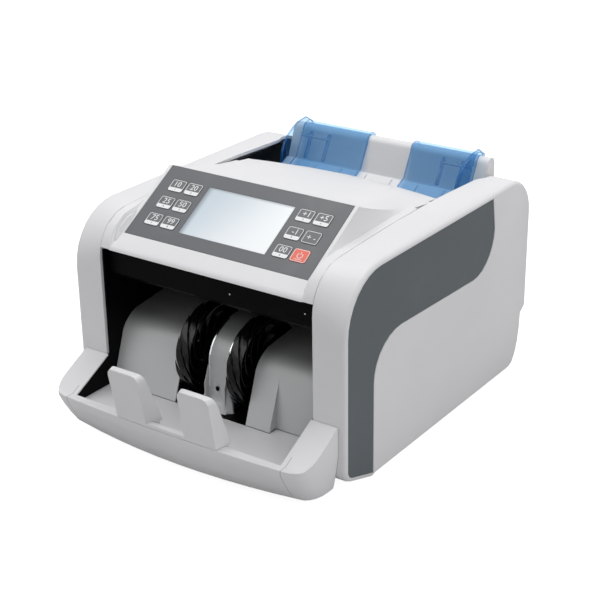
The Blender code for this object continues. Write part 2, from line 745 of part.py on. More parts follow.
def centre_cover():
    finish = material("centre_cover_white", (0.80, 0.81, 0.83), 0.42)

    def seam(y):
        return (seam_half(y) if y <= SEAM_END_Y else SEAM_END_HALF) - GAP

    edge = CONSOLE_HALF
    foot = CONSOLE_HALF + CONSOLE_FLANK
    middle = edge - SHOULDER_WIDTH / 2
    start = edge - SHOULDER_WIDTH
    columns = [
        (seam, seam, border_height, True),
        (lambda y: min(foot, seam(y) - GAP), lambda y: min(foot, seam(y)) - WALL, border_height, True),
        (lambda y: min(edge, seam(y) - 2 * GAP), lambda y: edge - WALL,
         lambda y: flank_height(y, EDGE_FALL_POWER), False),
        (lambda y: middle, lambda y: middle - WALL / 2, shoulder_height, False),
        (lambda y: start, lambda y: start, console_height, False),
        (lambda y: start / 2, lambda y: start / 2, console_height, False),
    ]
    sections = [cover_section(*column) for column in columns]
    centre = [cover_section(lambda y: 0, lambda y: 0, console_height)]
    other = [[(-x, y, z) for x, y, z in section] for section in sections[::-1]]
    cover = solid("centre_cover", strip_loft(sections + centre + other))
    slot = box((SEAM_END_HALF - SEAM_SLOT, SEAM_SLOT_START_Y, BODY_HEIGHT - COVER_FLANGE),
               (HALF, SEAM_SLOT_END_Y + GAP, BODY_HEIGHT + COVER_FLANGE))
    tail = box((SEAM_END_HALF - COVER_TAIL_NARROWING, SEAM_SLOT_END_Y, BODY_HEIGHT - COVER_FLANGE * 2),
               (HALF, COVER_REAR_Y + OVERRUN, BODY_HEIGHT + COVER_FLANGE))
    cut(cover, slot, mirrored(slot), tail, mirrored(tail))
    face = PANEL_HALF + GAP
    low = -(OVERLAY_THICKNESS + GAP)
    cut(cover, on_panel(box((-face, -GAP, low), (face, PANEL_LENGTH + GAP, OVERRUN))))
    deep = -(OVERLAY_THICKNESS + GAP + WALL + OVERRUN)
    half = window_half() - LENS_LEDGE
    cut(cover, on_panel(box((-half, WINDOW_BOTTOM + LENS_LEDGE, deep), (half, WINDOW_TOP - LENS_LEDGE, 0))))
    key_low, key_high = key_block()
    bottom = key_row(0) - KEY_LENGTH / 2 - 2 * GAP - KEY_FLANGE
    top = key_row(2) + KEY_LENGTH / 2 + 2 * GAP + KEY_FLANGE
    for side in (-1, 1):
        ends = sorted((side * key_low, side * key_high))
        cut(cover, on_panel(box((ends[0], bottom, deep), (ends[1], top, 0))))
        for v in (BOARD_MARGIN + BOARD_POST_INSET, PANEL_LENGTH - BOARD_MARGIN - BOARD_POST_INSET):
            u = side * (PANEL_HALF - BOARD_POST_INSET)
            post = prism(arc((u, v), (BOARD_POST_RADIUS,) * 2, 0, 360 * 7 / 8, 7), "Z",
                         board_top() + GAP, -(WALL + OVERLAY_THICKNESS + GAP) / 2)
            join(cover, on_panel(post))
    settle(cover, finish, smooth=True)


def strip_loft(sections):
    """Loft over sections that each hold an outer line and its inner line back, with strip ends."""
    vertices, faces = loft(sections)
    faces = faces[:-2]
    count = len(sections[0])
    for base in (0, len(vertices) - count):
        for i in range(count // 2 - 1):
            faces.append((base + i, base + i + 1, base + count - 2 - i, base + count - 1 - i))
    return vertices, faces


def key_column(index):
    """Distance of a key column from the middle; column 0 is the outer one."""
    return PANEL_HALF - KEY_EDGE_MARGIN - KEY_WIDTH / 2 - index * KEY_COLUMN_PITCH


def key_row(index):
    """Place of a key row up the panel; row 2 is the top one."""
    return PANEL_LENGTH - KEY_TOP_MARGIN - KEY_LENGTH / 2 - (2 - index) * KEY_ROW_PITCH


def key_block():
    """Inner and outer limit of the space under a key block, measured from the middle."""
    room = KEY_WIDTH / 2 + KEY_FLANGE + 2 * GAP
    return key_column(1) - room, key_column(0) + room


def window_half():
    return key_column(1) - KEY_WIDTH / 2 - WINDOW_SIDE_MARGIN


def module_top():
    return -(WALL + GAP)


def board_top():
    return module_top() - MODULE_THICKNESS - GAP


def panel_pieces():
    overlay_finish = material("overlay_grey", (0.115, 0.118, 0.125), 0.5)
    outline = [(-PANEL_HALF, 0), (PANEL_HALF, 0), (PANEL_HALF, PANEL_LENGTH), (-PANEL_HALF, PANEL_LENGTH)]
    overlay = solid("panel_overlay", on_panel(prism(outline, "Z", -OVERLAY_THICKNESS, 0)))
    half = window_half()
    window = box((-half, WINDOW_BOTTOM, -WALL), (half, WINDOW_TOP, OVERRUN))
    cut(overlay, on_panel(window))
    for side, column, row in key_places():
        low, high = key_limits(side, column, row, GAP)
        hole = rounded_rectangle(low, high, KEY_CORNER + GAP)
        cut(overlay, on_panel(prism(hole, "Z", -WALL, OVERRUN)))
    settle(overlay, overlay_finish)

    lens_finish = material("display_glass", (0.80, 0.86, 0.90), 0.08)
    lens = box((GAP - half, WINDOW_BOTTOM + GAP, -OVERLAY_THICKNESS), (half - GAP, WINDOW_TOP - GAP, 0))
    settle(solid("display_lens", on_panel(lens)), lens_finish)

    module_finish = material("display_frame", (0.25, 0.26, 0.27), 0.4, metallic=0.6)
    reach = half + MODULE_MARGIN
    top = module_top()
    module = box((-reach, WINDOW_BOTTOM, top - MODULE_THICKNESS), (reach, WINDOW_TOP, top))
    settle(solid("display_module", on_panel(module)), module_finish)

    board_finish = material("board_green", (0.02, 0.16, 0.07), 0.5)
    board = box((-PANEL_HALF, BOARD_MARGIN, board_top() - BOARD_THICKNESS),
                (PANEL_HALF, PANEL_LENGTH - BOARD_MARGIN, board_top()))
    settle(solid("control_board", on_panel(board)), board_finish)


def key_places():
    """The twelve keys as side, column counted from the panel's end, and row from the bottom."""
    return [(side, column, row) for side in (-1, 1) for row in (2, 1, 0) for column in (0, 1)]


def key_limits(side, column, row, grow):
    u = side * key_column(column)
    v = key_row(row)
    low = (u - KEY_WIDTH / 2 - grow, v - KEY_LENGTH / 2 - grow)
    return low, (u + KEY_WIDTH / 2 + grow, v + KEY_LENGTH / 2 + grow)


def keys():
    pale = material("key_white", (0.72, 0.74, 0.76), 0.45)
    red = material("key_red", (0.85, 0.16, 0.09), 0.45)
    tops = -(OVERLAY_THICKNESS + KEY_LIFT)
    for side, column, row in key_places():
        low, high = key_limits(side, column, row, 0)
        flange_low, flange_high = key_limits(side, column, row, KEY_FLANGE)
        name = f"key_{'left' if side < 0 else 'right'}_{'outer' if column == 0 else 'inner'}_{row + 1}"
        key = solid(name, on_panel(prism(rounded_rectangle(low, high, KEY_CORNER), "Z", tops, KEY_PROUD)))
        flange = box((*flange_low, tops - KEY_FLANGE), (*flange_high, tops))
        centre = (side * key_column(column), key_row(row))
        stem = box((centre[0] - KEY_STEM / 2, centre[1] - KEY_STEM / 2, board_top() + KEY_TRAVEL + GAP),
                   (centre[0] + KEY_STEM / 2, centre[1] + KEY_STEM / 2, tops - KEY_FLANGE / 2))
        join(key, on_panel(flange), on_panel(stem))
        pivot = on_panel(([(*centre, 0)], []))[0][0]
        is_red = side > 0 and column == 0 and row == 0
        settle(key, red if is_red else pale, pivot)


def base_path():
    """Outer line of the base pan as (y, z): front wall, rise, underside and rear toe."""
    front = TOE_RADIUS + GAP
    toe_centre = (BODY_DEPTH - STEP_DEPTH - REAR_TOE_LENGTH, STEP_HEIGHT - STEP_DROP)
    corner = LEG_REAR_Y + LEG_Z / math.tan(LEG_RISE)
    path = [(front, BASE_FRONT_HEIGHT), (front, leg_height(front)), (corner, 0)]
    return path + arc(toe_centre, (REAR_TOE_LENGTH, toe_centre[1]), -90, 0, 5)


def base_pan():
    finish = material("base_grey", (0.30, 0.31, 0.33), 0.55)
    pan = solid("base_pan", prism(band(base_path(), BASE_WALL), "X", GAP - HOPPER_HALF, HOPPER_HALF - GAP))
    for centre in foot_centres().values():
        cut(pan, upright(centre, FOOT_PIN_RADIUS + GAP, -OVERRUN, BASE_WALL + OVERRUN, 8))
    for x in (STANDOFF_RADIUS * 2 - MAIN_BOARD_LEFT, MAIN_BOARD_RIGHT - STANDOFF_RADIUS * 2):
        for y in (MAIN_BOARD_FRONT_Y + STANDOFF_RADIUS * 2, MAIN_BOARD_REAR_Y - STANDOFF_RADIUS * 2):
            join(pan, upright((x, y), STANDOFF_RADIUS, BASE_WALL / 2, MAIN_BOARD_Z - GAP, 8))
    settle(pan, finish)


def foot_centres():
    x = HOPPER_HALF - FOOT_INSET_X
    rear = BODY_DEPTH - FOOT_REAR_INSET
    return {"foot_front_left": (-x, FOOT_FRONT_Y), "foot_front_right": (x, FOOT_FRONT_Y),
            "foot_rear_left": (-x, rear), "foot_rear_right": (x, rear)}


def feet():
    finish = material("rubber_black", (0.02, 0.02, 0.02), 0.85)
    for name, centre in foot_centres().items():
        foot = solid(name, upright(centre, FOOT_RADIUS, -FOOT_HEIGHT, -GAP))
        join(foot, upright(centre, FOOT_PIN_RADIUS, -FOOT_HEIGHT / 2, FOOT_PIN_LENGTH - FOOT_HEIGHT / 2, 8))
        settle(foot, finish, smooth=True)


def lip_front(x, share=0):
    """Front edge of the tray in plan at x; share runs from 0 at the lip to 1 at the underside."""
    half = OPENING_HALF + ARM_WIDTH - LIP_CORNER_WIDTH
    across = min(1, abs(x) / half) ** 2
    return LIP_BOW * across - LIP_REACH + (TRAY_UNDERCUT + TRAY_UNDERCUT_BOW * across) * share


def tray_outline(share, inset=0):
    """Plan of the tray, from its left rear corner round the front to its right rear corner."""
    side = OPENING_HALF + ARM_WIDTH - TRAY_SIDE_UNDERCUT * share - inset
    corner_x = OPENING_HALF + ARM_WIDTH - LIP_CORNER_WIDTH
    right = [(x, lip_front(x, share) + inset) for x in spread(0, corner_x, 6)]
    corner_y = lip_front(corner_x, share) + LIP_CORNER_LENGTH
    corner = arc((corner_x, corner_y), (side - corner_x, LIP_CORNER_LENGTH - inset), -90, 0, 5)[1:]
    right += corner + [(side, max(-GAP, corner_y + GAP))]
    left = [(-x, y) for x, y in right[:0:-1]]
    return left + right


def front_tray():
    finish = material("tray_white", (0.76, 0.77, 0.79), 0.42)
    rings = []
    for share, undercut in TRAY_RING_SHARES:
        z = mix(TRAY_BOTTOM_Z, LIP_TOP_Z, share)
        rings.append([(x, min(y, -GAP), z) for x, y in tray_outline(undercut)])
    rings.append([(x, y, ARM_TOP_Z) for x, y in tray_outline(0)])
    tray = solid("front_tray", loft(rings))
    outer = OPENING_HALF + ARM_WIDTH + OVERRUN
    lip_rear = LIP_WIDTH - LIP_REACH
    top = [(-LIP_REACH - OVERRUN, LIP_TOP_Z), (lip_rear, LIP_TOP_Z), (0, ARM_TOP_Z),
           (0, ARM_TOP_Z + OVERRUN), (-LIP_REACH - OVERRUN, ARM_TOP_Z + OVERRUN)]
    cut(tray, prism(top, "X", -outer, outer))
    ledge = [(lip_rear, TRAY_FLOOR_Z), (OVERRUN, TRAY_FLOOR_Z), (OVERRUN, ARM_TOP_Z - ARM_LEDGE),
             (0, ARM_TOP_Z - ARM_LEDGE), (lip_rear, LIP_TOP_Z - ARM_LEDGE)]
    cut(tray, prism(ledge, "X", -OPENING_HALF, OPENING_HALF))
    cut(tray, box((-LINER_INNER, lip_rear, TRAY_FLOOR_Z), (LINER_INNER, OVERRUN, ARM_TOP_Z + OVERRUN)))
    ceiling = TRAY_FLOOR_Z - TRAY_WALL
    hollow_rings = []
    levels = [(mix(TRAY_BOTTOM_Z, LIP_TOP_Z, share), undercut) for share, undercut in HOLLOW_RING_SHARES]
    for z, undercut in levels + [(ceiling, HOLLOW_TOP_SHARE)]:
        plan = tray_outline(undercut, TRAY_WALL)
        hollow_rings.append([(x, min(y, -GAP - TRAY_WALL), z) for x, y in plan])
    cut(tray, loft(hollow_rings))
    shelf = LINER_INNER
    join(tray, box((-shelf, -TRAY_WALL, ceiling), (shelf, SHEET_FOOT_Y - GAP, TRAY_FLOOR_Z)))
    recess_y = SHEET_FOOT_Y + SHEET_RECESS_DEPTH
    join(tray, box((SHEET_RECESS_X + SHEET_THICKNESS + GAP, -TRAY_WALL, ceiling),
                   (shelf, recess_y, TRAY_FLOOR_Z)))
    settle(tray, finish, smooth=True)


def note_stop():
    """One piece: a low bar along the lip with two tabs that lean forward."""
    finish = material("stop_white", (0.80, 0.81, 0.83), 0.4)
    floor = LIP_TOP_Z + GAP
    front = spread(-STOP_BAR_HALF, STOP_BAR_HALF, 9)
    rear = [(x, lip_front(x) + STOP_BAR_DEPTH) for x in front[::-1]]
    plan = [(x, lip_front(x) + GAP) for x in front] + rear
    stop = solid("note_stop", prism(plan, "Z", floor, floor + STOP_BAR_HEIGHT))
    top_z = STOP_TOP_Z
    base_y = lip_front(STOP_CENTRE) + GAP
    lean = LIP_REACH + STOP_LEAN + base_y
    lip_rear = LIP_WIDTH - LIP_REACH
    for side in (-1, 1):
        base = STOP_BASE_WIDTH / 2
        crest = STOP_TOP_WIDTH / 2
        shift = STOP_TOP_SHIFT
        face = [(-base, floor), (base, floor)]
        face += arc((shift + crest - STOP_CORNER, top_z - STOP_CORNER), (STOP_CORNER,) * 2, 0, 90, 3)
        face += arc((shift - crest + STOP_CORNER, top_z - STOP_CORNER), (STOP_CORNER,) * 2, 90, 180, 3)
        rings = []
        for is_rear in (False, True):
            ring = []
            for x, z in face:
                share = (z - floor) / (top_z - floor)
                y = base_y - lean * share
                if is_rear:
                    y += mix(STOP_BASE_DEPTH, STOP_TOP_DEPTH, share)
                else:
                    x = shift + (x - shift) * (1 - STOP_SIDE_INSET / base)
                ring.append((side * (STOP_CENTRE + x), y, z))
            rings.append(ring)
        half = base - STOP_SIDE_INSET
        foot = box((side * STOP_CENTRE - half, lip_rear + GAP, TRAY_FLOOR_Z + GAP),
                   (side * STOP_CENTRE + half, base_y + STOP_BASE_DEPTH, floor + STOP_BAR_HEIGHT / 2))
        cut_top = STOP_BAR_HEIGHT / 2 / (top_z - floor)
        rear_y = base_y + STOP_BASE_DEPTH - (lean + STOP_BASE_DEPTH - STOP_TOP_DEPTH) * cut_top
        foot = tapered_foot(foot, rear_y)
        join(stop, loft(rings), foot)
    settle(stop, finish, smooth=True)


def tapered_foot(geometry, rear_y):
    """A box whose upper rear edge is moved to rear_y, so that it lies inside the leaning tab above it."""
    points, faces = geometry
    top = max(z for _, _, z in points)
    rear = max(y for _, y, _ in points)
    return [(x, rear_y - GAP if z == top and y == rear else y, z) for x, y, z in points], faces


def plate_outline():
    """Side view of a chassis plate, inside the side cover's wall."""
    top = BODY_HEIGHT - PLATE_TOP_INSET
    rear = BODY_DEPTH - PLATE_REAR_INSET
    inside = offset_path(base_path(), BASE_WALL + PLATE_FOOT_GAP)
    foot = inside[2][1]
    return [inside[2], inside[1], (inside[1][0], BASE_FRONT_HEIGHT + GAP),
            (PLATE_FRONT_Y, BASE_FRONT_HEIGHT + BASE_WALL), (PLATE_FRONT_Y, top - PLATE_CHAMFER),
            (PLATE_FRONT_Y + PLATE_CHAMFER, top), (rear - PLATE_CHAMFER, top - REAR_FALL),
            (rear, top - PLATE_CHAMFER), (rear, STEP_HEIGHT + BASE_WALL),
            (rear - REAR_TOE_LENGTH - BASE_WALL, foot)]


def liner_outline():
    """Side view of a black liner: along the tray arm, beside the pocket and beside the hopper."""
    floor = TRAY_FLOOR_Z + GAP
    front = LIP_WIDTH - LIP_REACH + GAP
    slope = (ARM_TOP_Z - LIP_TOP_Z) / (LIP_REACH - LIP_WIDTH)
    drop = ARM_LEDGE + GAP
    top = OPENING_TOP - WALL
    hopper_y = COVER_REAR_Y - COVER_REAR_BOW
    return [(front, floor), (front, LIP_TOP_Z + slope * GAP - drop), (-GAP, ARM_TOP_Z - drop),
            (WALL, ARM_TOP_Z), (WALL, top), (hopper_y - WALL * 3, top), (hopper_y + GAP, REAR_HEIGHT - WALL),
            (BACKREST_FOOT_Y - WALL, REAR_HEIGHT - WALL),
            (HOPPER_FLOOR_REAR_Y, FLOOR_REAR_Z - HOPPER_FLOOR_THICKNESS * 4),
            (SHEET_REAR_Y, SHEET_SHOULDER_Z - SHEET_THICKNESS * 4), (SHEET_SHOULDER_Y, floor)]


def shafts():
    """Axis (y, z) and radius of every shaft that the plates carry."""
    return {"stacker": ((STACKER_Y, STACKER_Z), STACKER_SHAFT_RADIUS),
            "feed": (feed_axis(), FEED_SHAFT_RADIUS),
            "pickup": (pickup_axis(), PICKUP_SHAFT_RADIUS)}


def frames():
    steel = material("chassis_steel", (0.55, 0.56, 0.58), 0.35, metallic=0.9)
    black = material("liner_black", (0.012, 0.012, 0.013), 0.35)
    for side, turn in (("right", lambda g: g), ("left", mirrored)):
        plate = solid(side + "_chassis_plate", turn(prism(plate_outline(), "X", PLATE_INNER, PLATE_OUTER)))
        liner = solid(side + "_liner", turn(prism(liner_outline(), "X", LINER_INNER, LINER_OUTER)))
        for centre, radius in shafts().values():
            ring = turned([(PLATE_INNER + PLATE_THICKNESS / 2, BUSH_RADIUS),
                           (PLATE_OUTER + BUSH_LENGTH, BUSH_RADIUS)], centre, SMALL_STEPS)
            join(plate, turn(ring))
            cut(plate, turn(bore(PLATE_INNER - OVERRUN, BELT_INNER, radius + GAP, centre)))
            cut(liner, turn(bore(LINER_INNER - OVERRUN, LINER_OUTER + OVERRUN, radius + 2 * GAP, centre)))
        if side == "left":
            centre = (MOTOR_Y, MOTOR_Z)
            cut(plate, turn(bore(PLATE_INNER - OVERRUN, BELT_INNER, MOTOR_SHAFT_RADIUS + GAP, centre)))
        settle(plate, steel)
        settle(liner, black)


def tie_rod_axis():
    y, z = retard_axis()
    return y - RETARD_RADIUS, z + GUIDE_BAR_LIFT + TIE_ROD_RADIUS


def tie_rod():
    steel = material("rod_steel", (0.62, 0.63, 0.65), 0.25, metallic=1.0)
    reach = PLATE_INNER - GAP
    profile = [(-reach, TIE_ROD_RADIUS), (reach, TIE_ROD_RADIUS)]
    rod = solid("tie_rod", turned(profile, tie_rod_axis(), SMALL_STEPS))
    settle(rod, steel, smooth=True)
    for side, turn in (("right", lambda g: g), ("left", mirrored)):
        hole = bore(LINER_INNER - OVERRUN, LINER_OUTER + OVERRUN, TIE_ROD_RADIUS + 2 * GAP, tie_rod_axis())
        cut_settled(bpy.data.objects[side + "_liner"], turn(hole))


def cut_settled(piece, geometry):
    """Cuts a piece that is already in its place."""
    cut(piece, ([tuple(Vector(v) + SHIFT) for v in geometry[0]], geometry[1]))


def sheet_path():
    """Front line of the stacker sheet as (y, z), from its foot up and over to its rear edge."""
    knee = (SHEET_KNEE_Y, SHEET_KNEE_Z)
    shoulder = (SHEET_SHOULDER_Y, SHEET_SHOULDER_Z)
    shares = (SHEET_BEND_REACH_SHARE, SHEET_BEND_RISE_SHARE)
    corner = tuple(mix(p, q, share) for p, q, share in zip(knee, shoulder, shares))
    curve = []
    for i in range(1, SHEET_BEND_STEPS):
        t = i / SHEET_BEND_STEPS
        a = tuple(mix(p, q, t) for p, q in zip(knee, corner))
        b = tuple(mix(p, q, t) for p, q in zip(corner, shoulder))
        curve.append(tuple(mix(p, q, t) for p, q in zip(a, b)))
    return [(SHEET_FOOT_Y, TRAY_FLOOR_Z + GAP), knee] + curve + [shoulder, (SHEET_REAR_Y, SHEET_REAR_Z)]


def stacker_backplate():
    finish = material("sheet_grey", (0.62, 0.63, 0.65), 0.5)
    split = SHEET_RECESS_X
    left = prism(band(sheet_path(), -SHEET_THICKNESS), "X", -INNER_SPAN, split + SHEET_THICKNESS)
    sheet = solid("stacker_backplate", left)
    recess = recess_path()
    join(sheet, prism(band(recess, -SHEET_THICKNESS), "X", split, INNER_SPAN))
    inside = offset_path(sheet_path()[:2], -SHEET_THICKNESS / 2)[0]
    behind = offset_path(recess[:2], -SHEET_THICKNESS / 2)
    tip = (behind[1][0], behind[1][1] + SHEET_THICKNESS / 2)
    join(sheet, prism([inside, tip, behind[0]], "X", split + GAP, split + SHEET_THICKNESS - GAP))
    well = WHEEL_CENTRE + WHEEL_THICKNESS / 2 + WHEEL_SIDE_ROOM
    end = SHEET_REAR_Y - SHEET_BRIDGE
    cut(sheet, box((-well, -OVERRUN, TRAY_FLOOR_Z - OVERRUN), (well, end, SHEET_REAR_Z + OVERRUN)))
    settle(sheet, finish, smooth=True)


def step_point():
    """Where the recess runs out into the sheet's front line."""
    foot, knee = sheet_path()[:2]
    share = (SHEET_RECESS_TOP_Z - foot[1]) / (knee[1] - foot[1])
    return mix(foot[0], knee[0], share), SHEET_RECESS_TOP_Z


def recess_path():
    """Front line of the recessed right end of the sheet."""
    line = sheet_path()
    step = step_point()
    foot = (line[0][0] + SHEET_RECESS_DEPTH + GAP, line[0][1])
    return [foot, (step[0] + GAP, step[1])] + line[1:]


def centre_nose():
    finish = material("nose_grey", (0.50, 0.51, 0.53), 0.35)
    floor = TRAY_FLOOR_Z + GAP
    crest = (NOSE_CREST_Y, NOSE_TURN_Z)
    curve = arc(crest, (NOSE_CREST_Y - NOSE_FACE_Y, NOSE_CREST_Z - NOSE_TURN_Z), 180, 90, 8)
    rear = BED_FRONT_Y - GAP
    path = [(NOSE_FOOT_Y, floor)] + curve + [(rear, NOSE_CREST_Z)]
    face = NOSE_HALF_WIDTH - SHEET_THICKNESS / 4
    nose = solid("centre_nose", prism(band(path, -SHEET_THICKNESS), "X", -face, face))
    lip = [(NOSE_FOOT_Y - NOSE_LIP, floor), (NOSE_FOOT_Y - NOSE_LIP, NOSE_LIP_Z)]
    flange = lip + path[1:] + offset_path(path, -NOSE_FLANGE)[::-1]
    for side in (-1, 1):
        ends = sorted((side * (NOSE_HALF_WIDTH - SHEET_THICKNESS / 2), side * NOSE_HALF_WIDTH))
        join(nose, prism(flange, "X", *ends))
    settle(nose, finish, smooth=True)


def wheel_geometry(centre_x):
    """An impeller whose vanes leave the hub upright and trail off along the rim."""
    outline = []
    for k in range(VANE_COUNT):
        start = math.radians(360 / VANE_COUNT * k)
        line = []
        for t in spread(0, 1, VANE_STEPS + 1):
            r = WHEEL_RADIUS - (WHEEL_RADIUS - WHEEL_ROOT_RADIUS) * (1 - t) ** VANE_BEND
            angle = start - math.radians(VANE_SWEEP) * t
            line.append((STACKER_Y + r * math.cos(angle), STACKER_Z + r * math.sin(angle)))
        trailing, leading = [], []
        sides = zip(line, offset_path(line, 1), spread(VANE_THICKNESS / 2, VANE_TIP / 2, len(line)))
        for (y, z), (to_y, to_z), reach in sides:
            trailing.append((y - (to_y - y) * reach, z - (to_z - z) * reach))
            leading.append((y + (to_y - y) * reach, z + (to_z - z) * reach))
        outline += trailing + leading[::-1]
    half = WHEEL_THICKNESS / 2
    return prism(outline, "X", centre_x - half, centre_x + half)


def stacker():
    black = material("wheel_black", (0.01, 0.01, 0.011), 0.12)
    steel = material("shaft_steel", (0.6, 0.61, 0.63), 0.25, metallic=1.0)
    centre = (STACKER_Y, STACKER_Z)
    pivot = (0, *centre)
    for side, x in (("left", -WHEEL_CENTRE), ("right", WHEEL_CENTRE)):
        wheel = solid(side + "_stacker_wheel", wheel_geometry(x))
        half = WHEEL_THICKNESS / 2 + OVERRUN
        cut(wheel, bore(x - half, x + half, STACKER_SHAFT_RADIUS + GAP, centre))
        settle(wheel, black, pivot, smooth=True)
    right = PLATE_OUTER + BUSH_LENGTH
    shaft = turned([(-BELT_OUTER, STACKER_SHAFT_RADIUS), (right, STACKER_SHAFT_RADIUS)], centre, SMALL_STEPS)
    settle(solid("stacker_shaft", shaft), steel, pivot, smooth=True)


def floor_height(y):
    """Top of the hopper floor between its ribs."""
    return FLOOR_REAR_Z - (HOPPER_FLOOR_REAR_Y - y) * math.tan(FLOOR_ANGLE)


def bed_height(y):
    """Top of the feed bed, which carries on from the hopper floor down to the stacker."""
    return BED_FRONT_Z + (y - BED_FRONT_Y) * math.tan(BED_ANGLE)


def pickup_axis():
    depth = PICKUP_RADIUS - PICKUP_PROUD
    return (PICKUP_Y + depth * math.sin(FLOOR_ANGLE), floor_height(PICKUP_Y) - depth * math.cos(FLOOR_ANGLE))


def feed_axis():
    depth = FEED_RADIUS - FEED_PROUD
    return (FEED_Y + depth * math.sin(BED_ANGLE), bed_height(FEED_Y) - depth * math.cos(BED_ANGLE))


def retard_axis():
    y, z = feed_axis()
    reach = FEED_RADIUS + RETARD_RADIUS + RETARD_GAP
    return y - reach * math.sin(BED_ANGLE), z + reach * math.cos(BED_ANGLE)


def roller_slots(y, radius, proud, thickness):
    """Two cutters that clear the tyres of a roller where it comes up through a plate at y."""
    room = TYRE_WIDTH / 2 + TYRE_SIDE_ROOM
    reach = math.sqrt(radius ** 2 - (radius - proud - thickness) ** 2) + TYRE_SIDE_ROOM
    return [box((x - room, y - reach, STACKER_Z), (x + room, y + reach, BODY_HEIGHT))
            for x in (-TYRE_CENTRE, TYRE_CENTRE)]


def hopper():
    finish = material("hopper_white", (0.80, 0.81, 0.82), 0.45)
    front = (HOPPER_FLOOR_FRONT_Y, FLOOR_FRONT_Z)
    rear = (HOPPER_FLOOR_REAR_Y, FLOOR_REAR_Z)
    path = [front, rear]
    floor = solid("hopper_floor", prism(band(path, -HOPPER_FLOOR_THICKNESS), "X", -INNER_SPAN, INNER_SPAN))
    inset = FLOOR_RIB_INSET_SHARE
    line = [tuple(mix(a, b, share) for a, b in zip(front, rear)) for share in (inset, 1 - inset)]
    rib = offset_path(line, -FLOOR_RIB_HEIGHT / 2) + offset_path(line, FLOOR_RIB_HEIGHT)[::-1]
    span = INNER_SPAN - TYRE_SIDE_ROOM * 4
    for x in spread(-span, span, FLOOR_RIB_COUNT):
        join(floor, prism(rib, "X", x - FLOOR_RIB_WIDTH / 2, x + FLOOR_RIB_WIDTH / 2))
    cut(floor, *roller_slots(PICKUP_Y, PICKUP_RADIUS, PICKUP_PROUD, HOPPER_FLOOR_THICKNESS))
    settle(floor, finish)

    rest = solid("hopper_backrest", prism(backrest_outline(0), "X", -INNER_SPAN, INNER_SPAN))
    settle(rest, finish, smooth=True)


def backrest_front():
    """Foot and shoulder of the backrest's front face as (y, z)."""
    foot = (BACKREST_FOOT_Y, FLOOR_REAR_Z - HOPPER_FLOOR_THICKNESS)
    return foot, (BACKREST_FOOT_Y + BACKREST_LEAN, BODY_HEIGHT + BACKREST_RISE - BACKREST_THICKNESS / 2)


def backrest_outline(grow):
    """Closed side view of the backrest: sloping front, round top, upright rear."""
    foot, shoulder = backrest_front()
    radius = BACKREST_THICKNESS / 2
    points = [foot] + arc((shoulder[0] + radius, shoulder[1]), (radius, radius), 180, 0, 8)
    points.append((shoulder[0] + BACKREST_THICKNESS, shoulder[1] - BACKREST_REAR_DEPTH))
    points.append((foot[0] + WALL, foot[1] - WALL))
    return points


def guide_path(clearance):
    """Inner line of a note guide: along the floor, up the backrest, over it and down behind."""
    foot, shoulder = backrest_front()
    radius = BACKREST_THICKNESS / 2 + clearance
    lift = FLOOR_RIB_HEIGHT + clearance
    toe_y = HOPPER_FLOOR_REAR_Y - GUIDE_TOE
    path = [(toe_y, floor_height(toe_y) + lift / math.cos(FLOOR_ANGLE))]
    heel_y = foot[0] - clearance * 4
    path.append((heel_y, floor_height(heel_y) + lift / math.cos(FLOOR_ANGLE) + clearance))
    path += arc((shoulder[0] + radius - clearance, shoulder[1]), (radius, radius), 180, 0, 8)
    path.append((shoulder[0] + BACKREST_THICKNESS + clearance, shoulder[1] - GUIDE_HOOK_DROP))
    return path


def wing_outline():
    """Side view of a guide's wing plate, standing above and in front of the backrest."""
    inner = guide_path(GUIDE_CLEARANCE)
    toe, heel = inner[0], inner[1]
    top = BODY_HEIGHT + BACKREST_RISE + GUIDE_WING_RISE
    crest_y = inner[6][0]
    front_y = heel[0] - GUIDE_WING_REACH + GUIDE_CLEARANCE
    knee_z = BODY_HEIGHT - GUIDE_HOOK_DROP
    front = [(front_y, floor_height(front_y) + FLOOR_RIB_HEIGHT * 2), (front_y + GUIDE_SHEET, knee_z)]
    radii = (crest_y - front_y - 2 * GUIDE_SHEET, top - knee_z)
    curve = arc((crest_y - GUIDE_SHEET, knee_z), radii, 180, 90, 6)[1:]
    hook = offset_path(inner, GUIDE_SHEET)
    tail = [(hook[-3][0], top - GUIDE_WING_RISE), hook[-2], hook[-1], inner[-1]]
    return front + curve + tail + inner[-2:1:-1] + [heel]


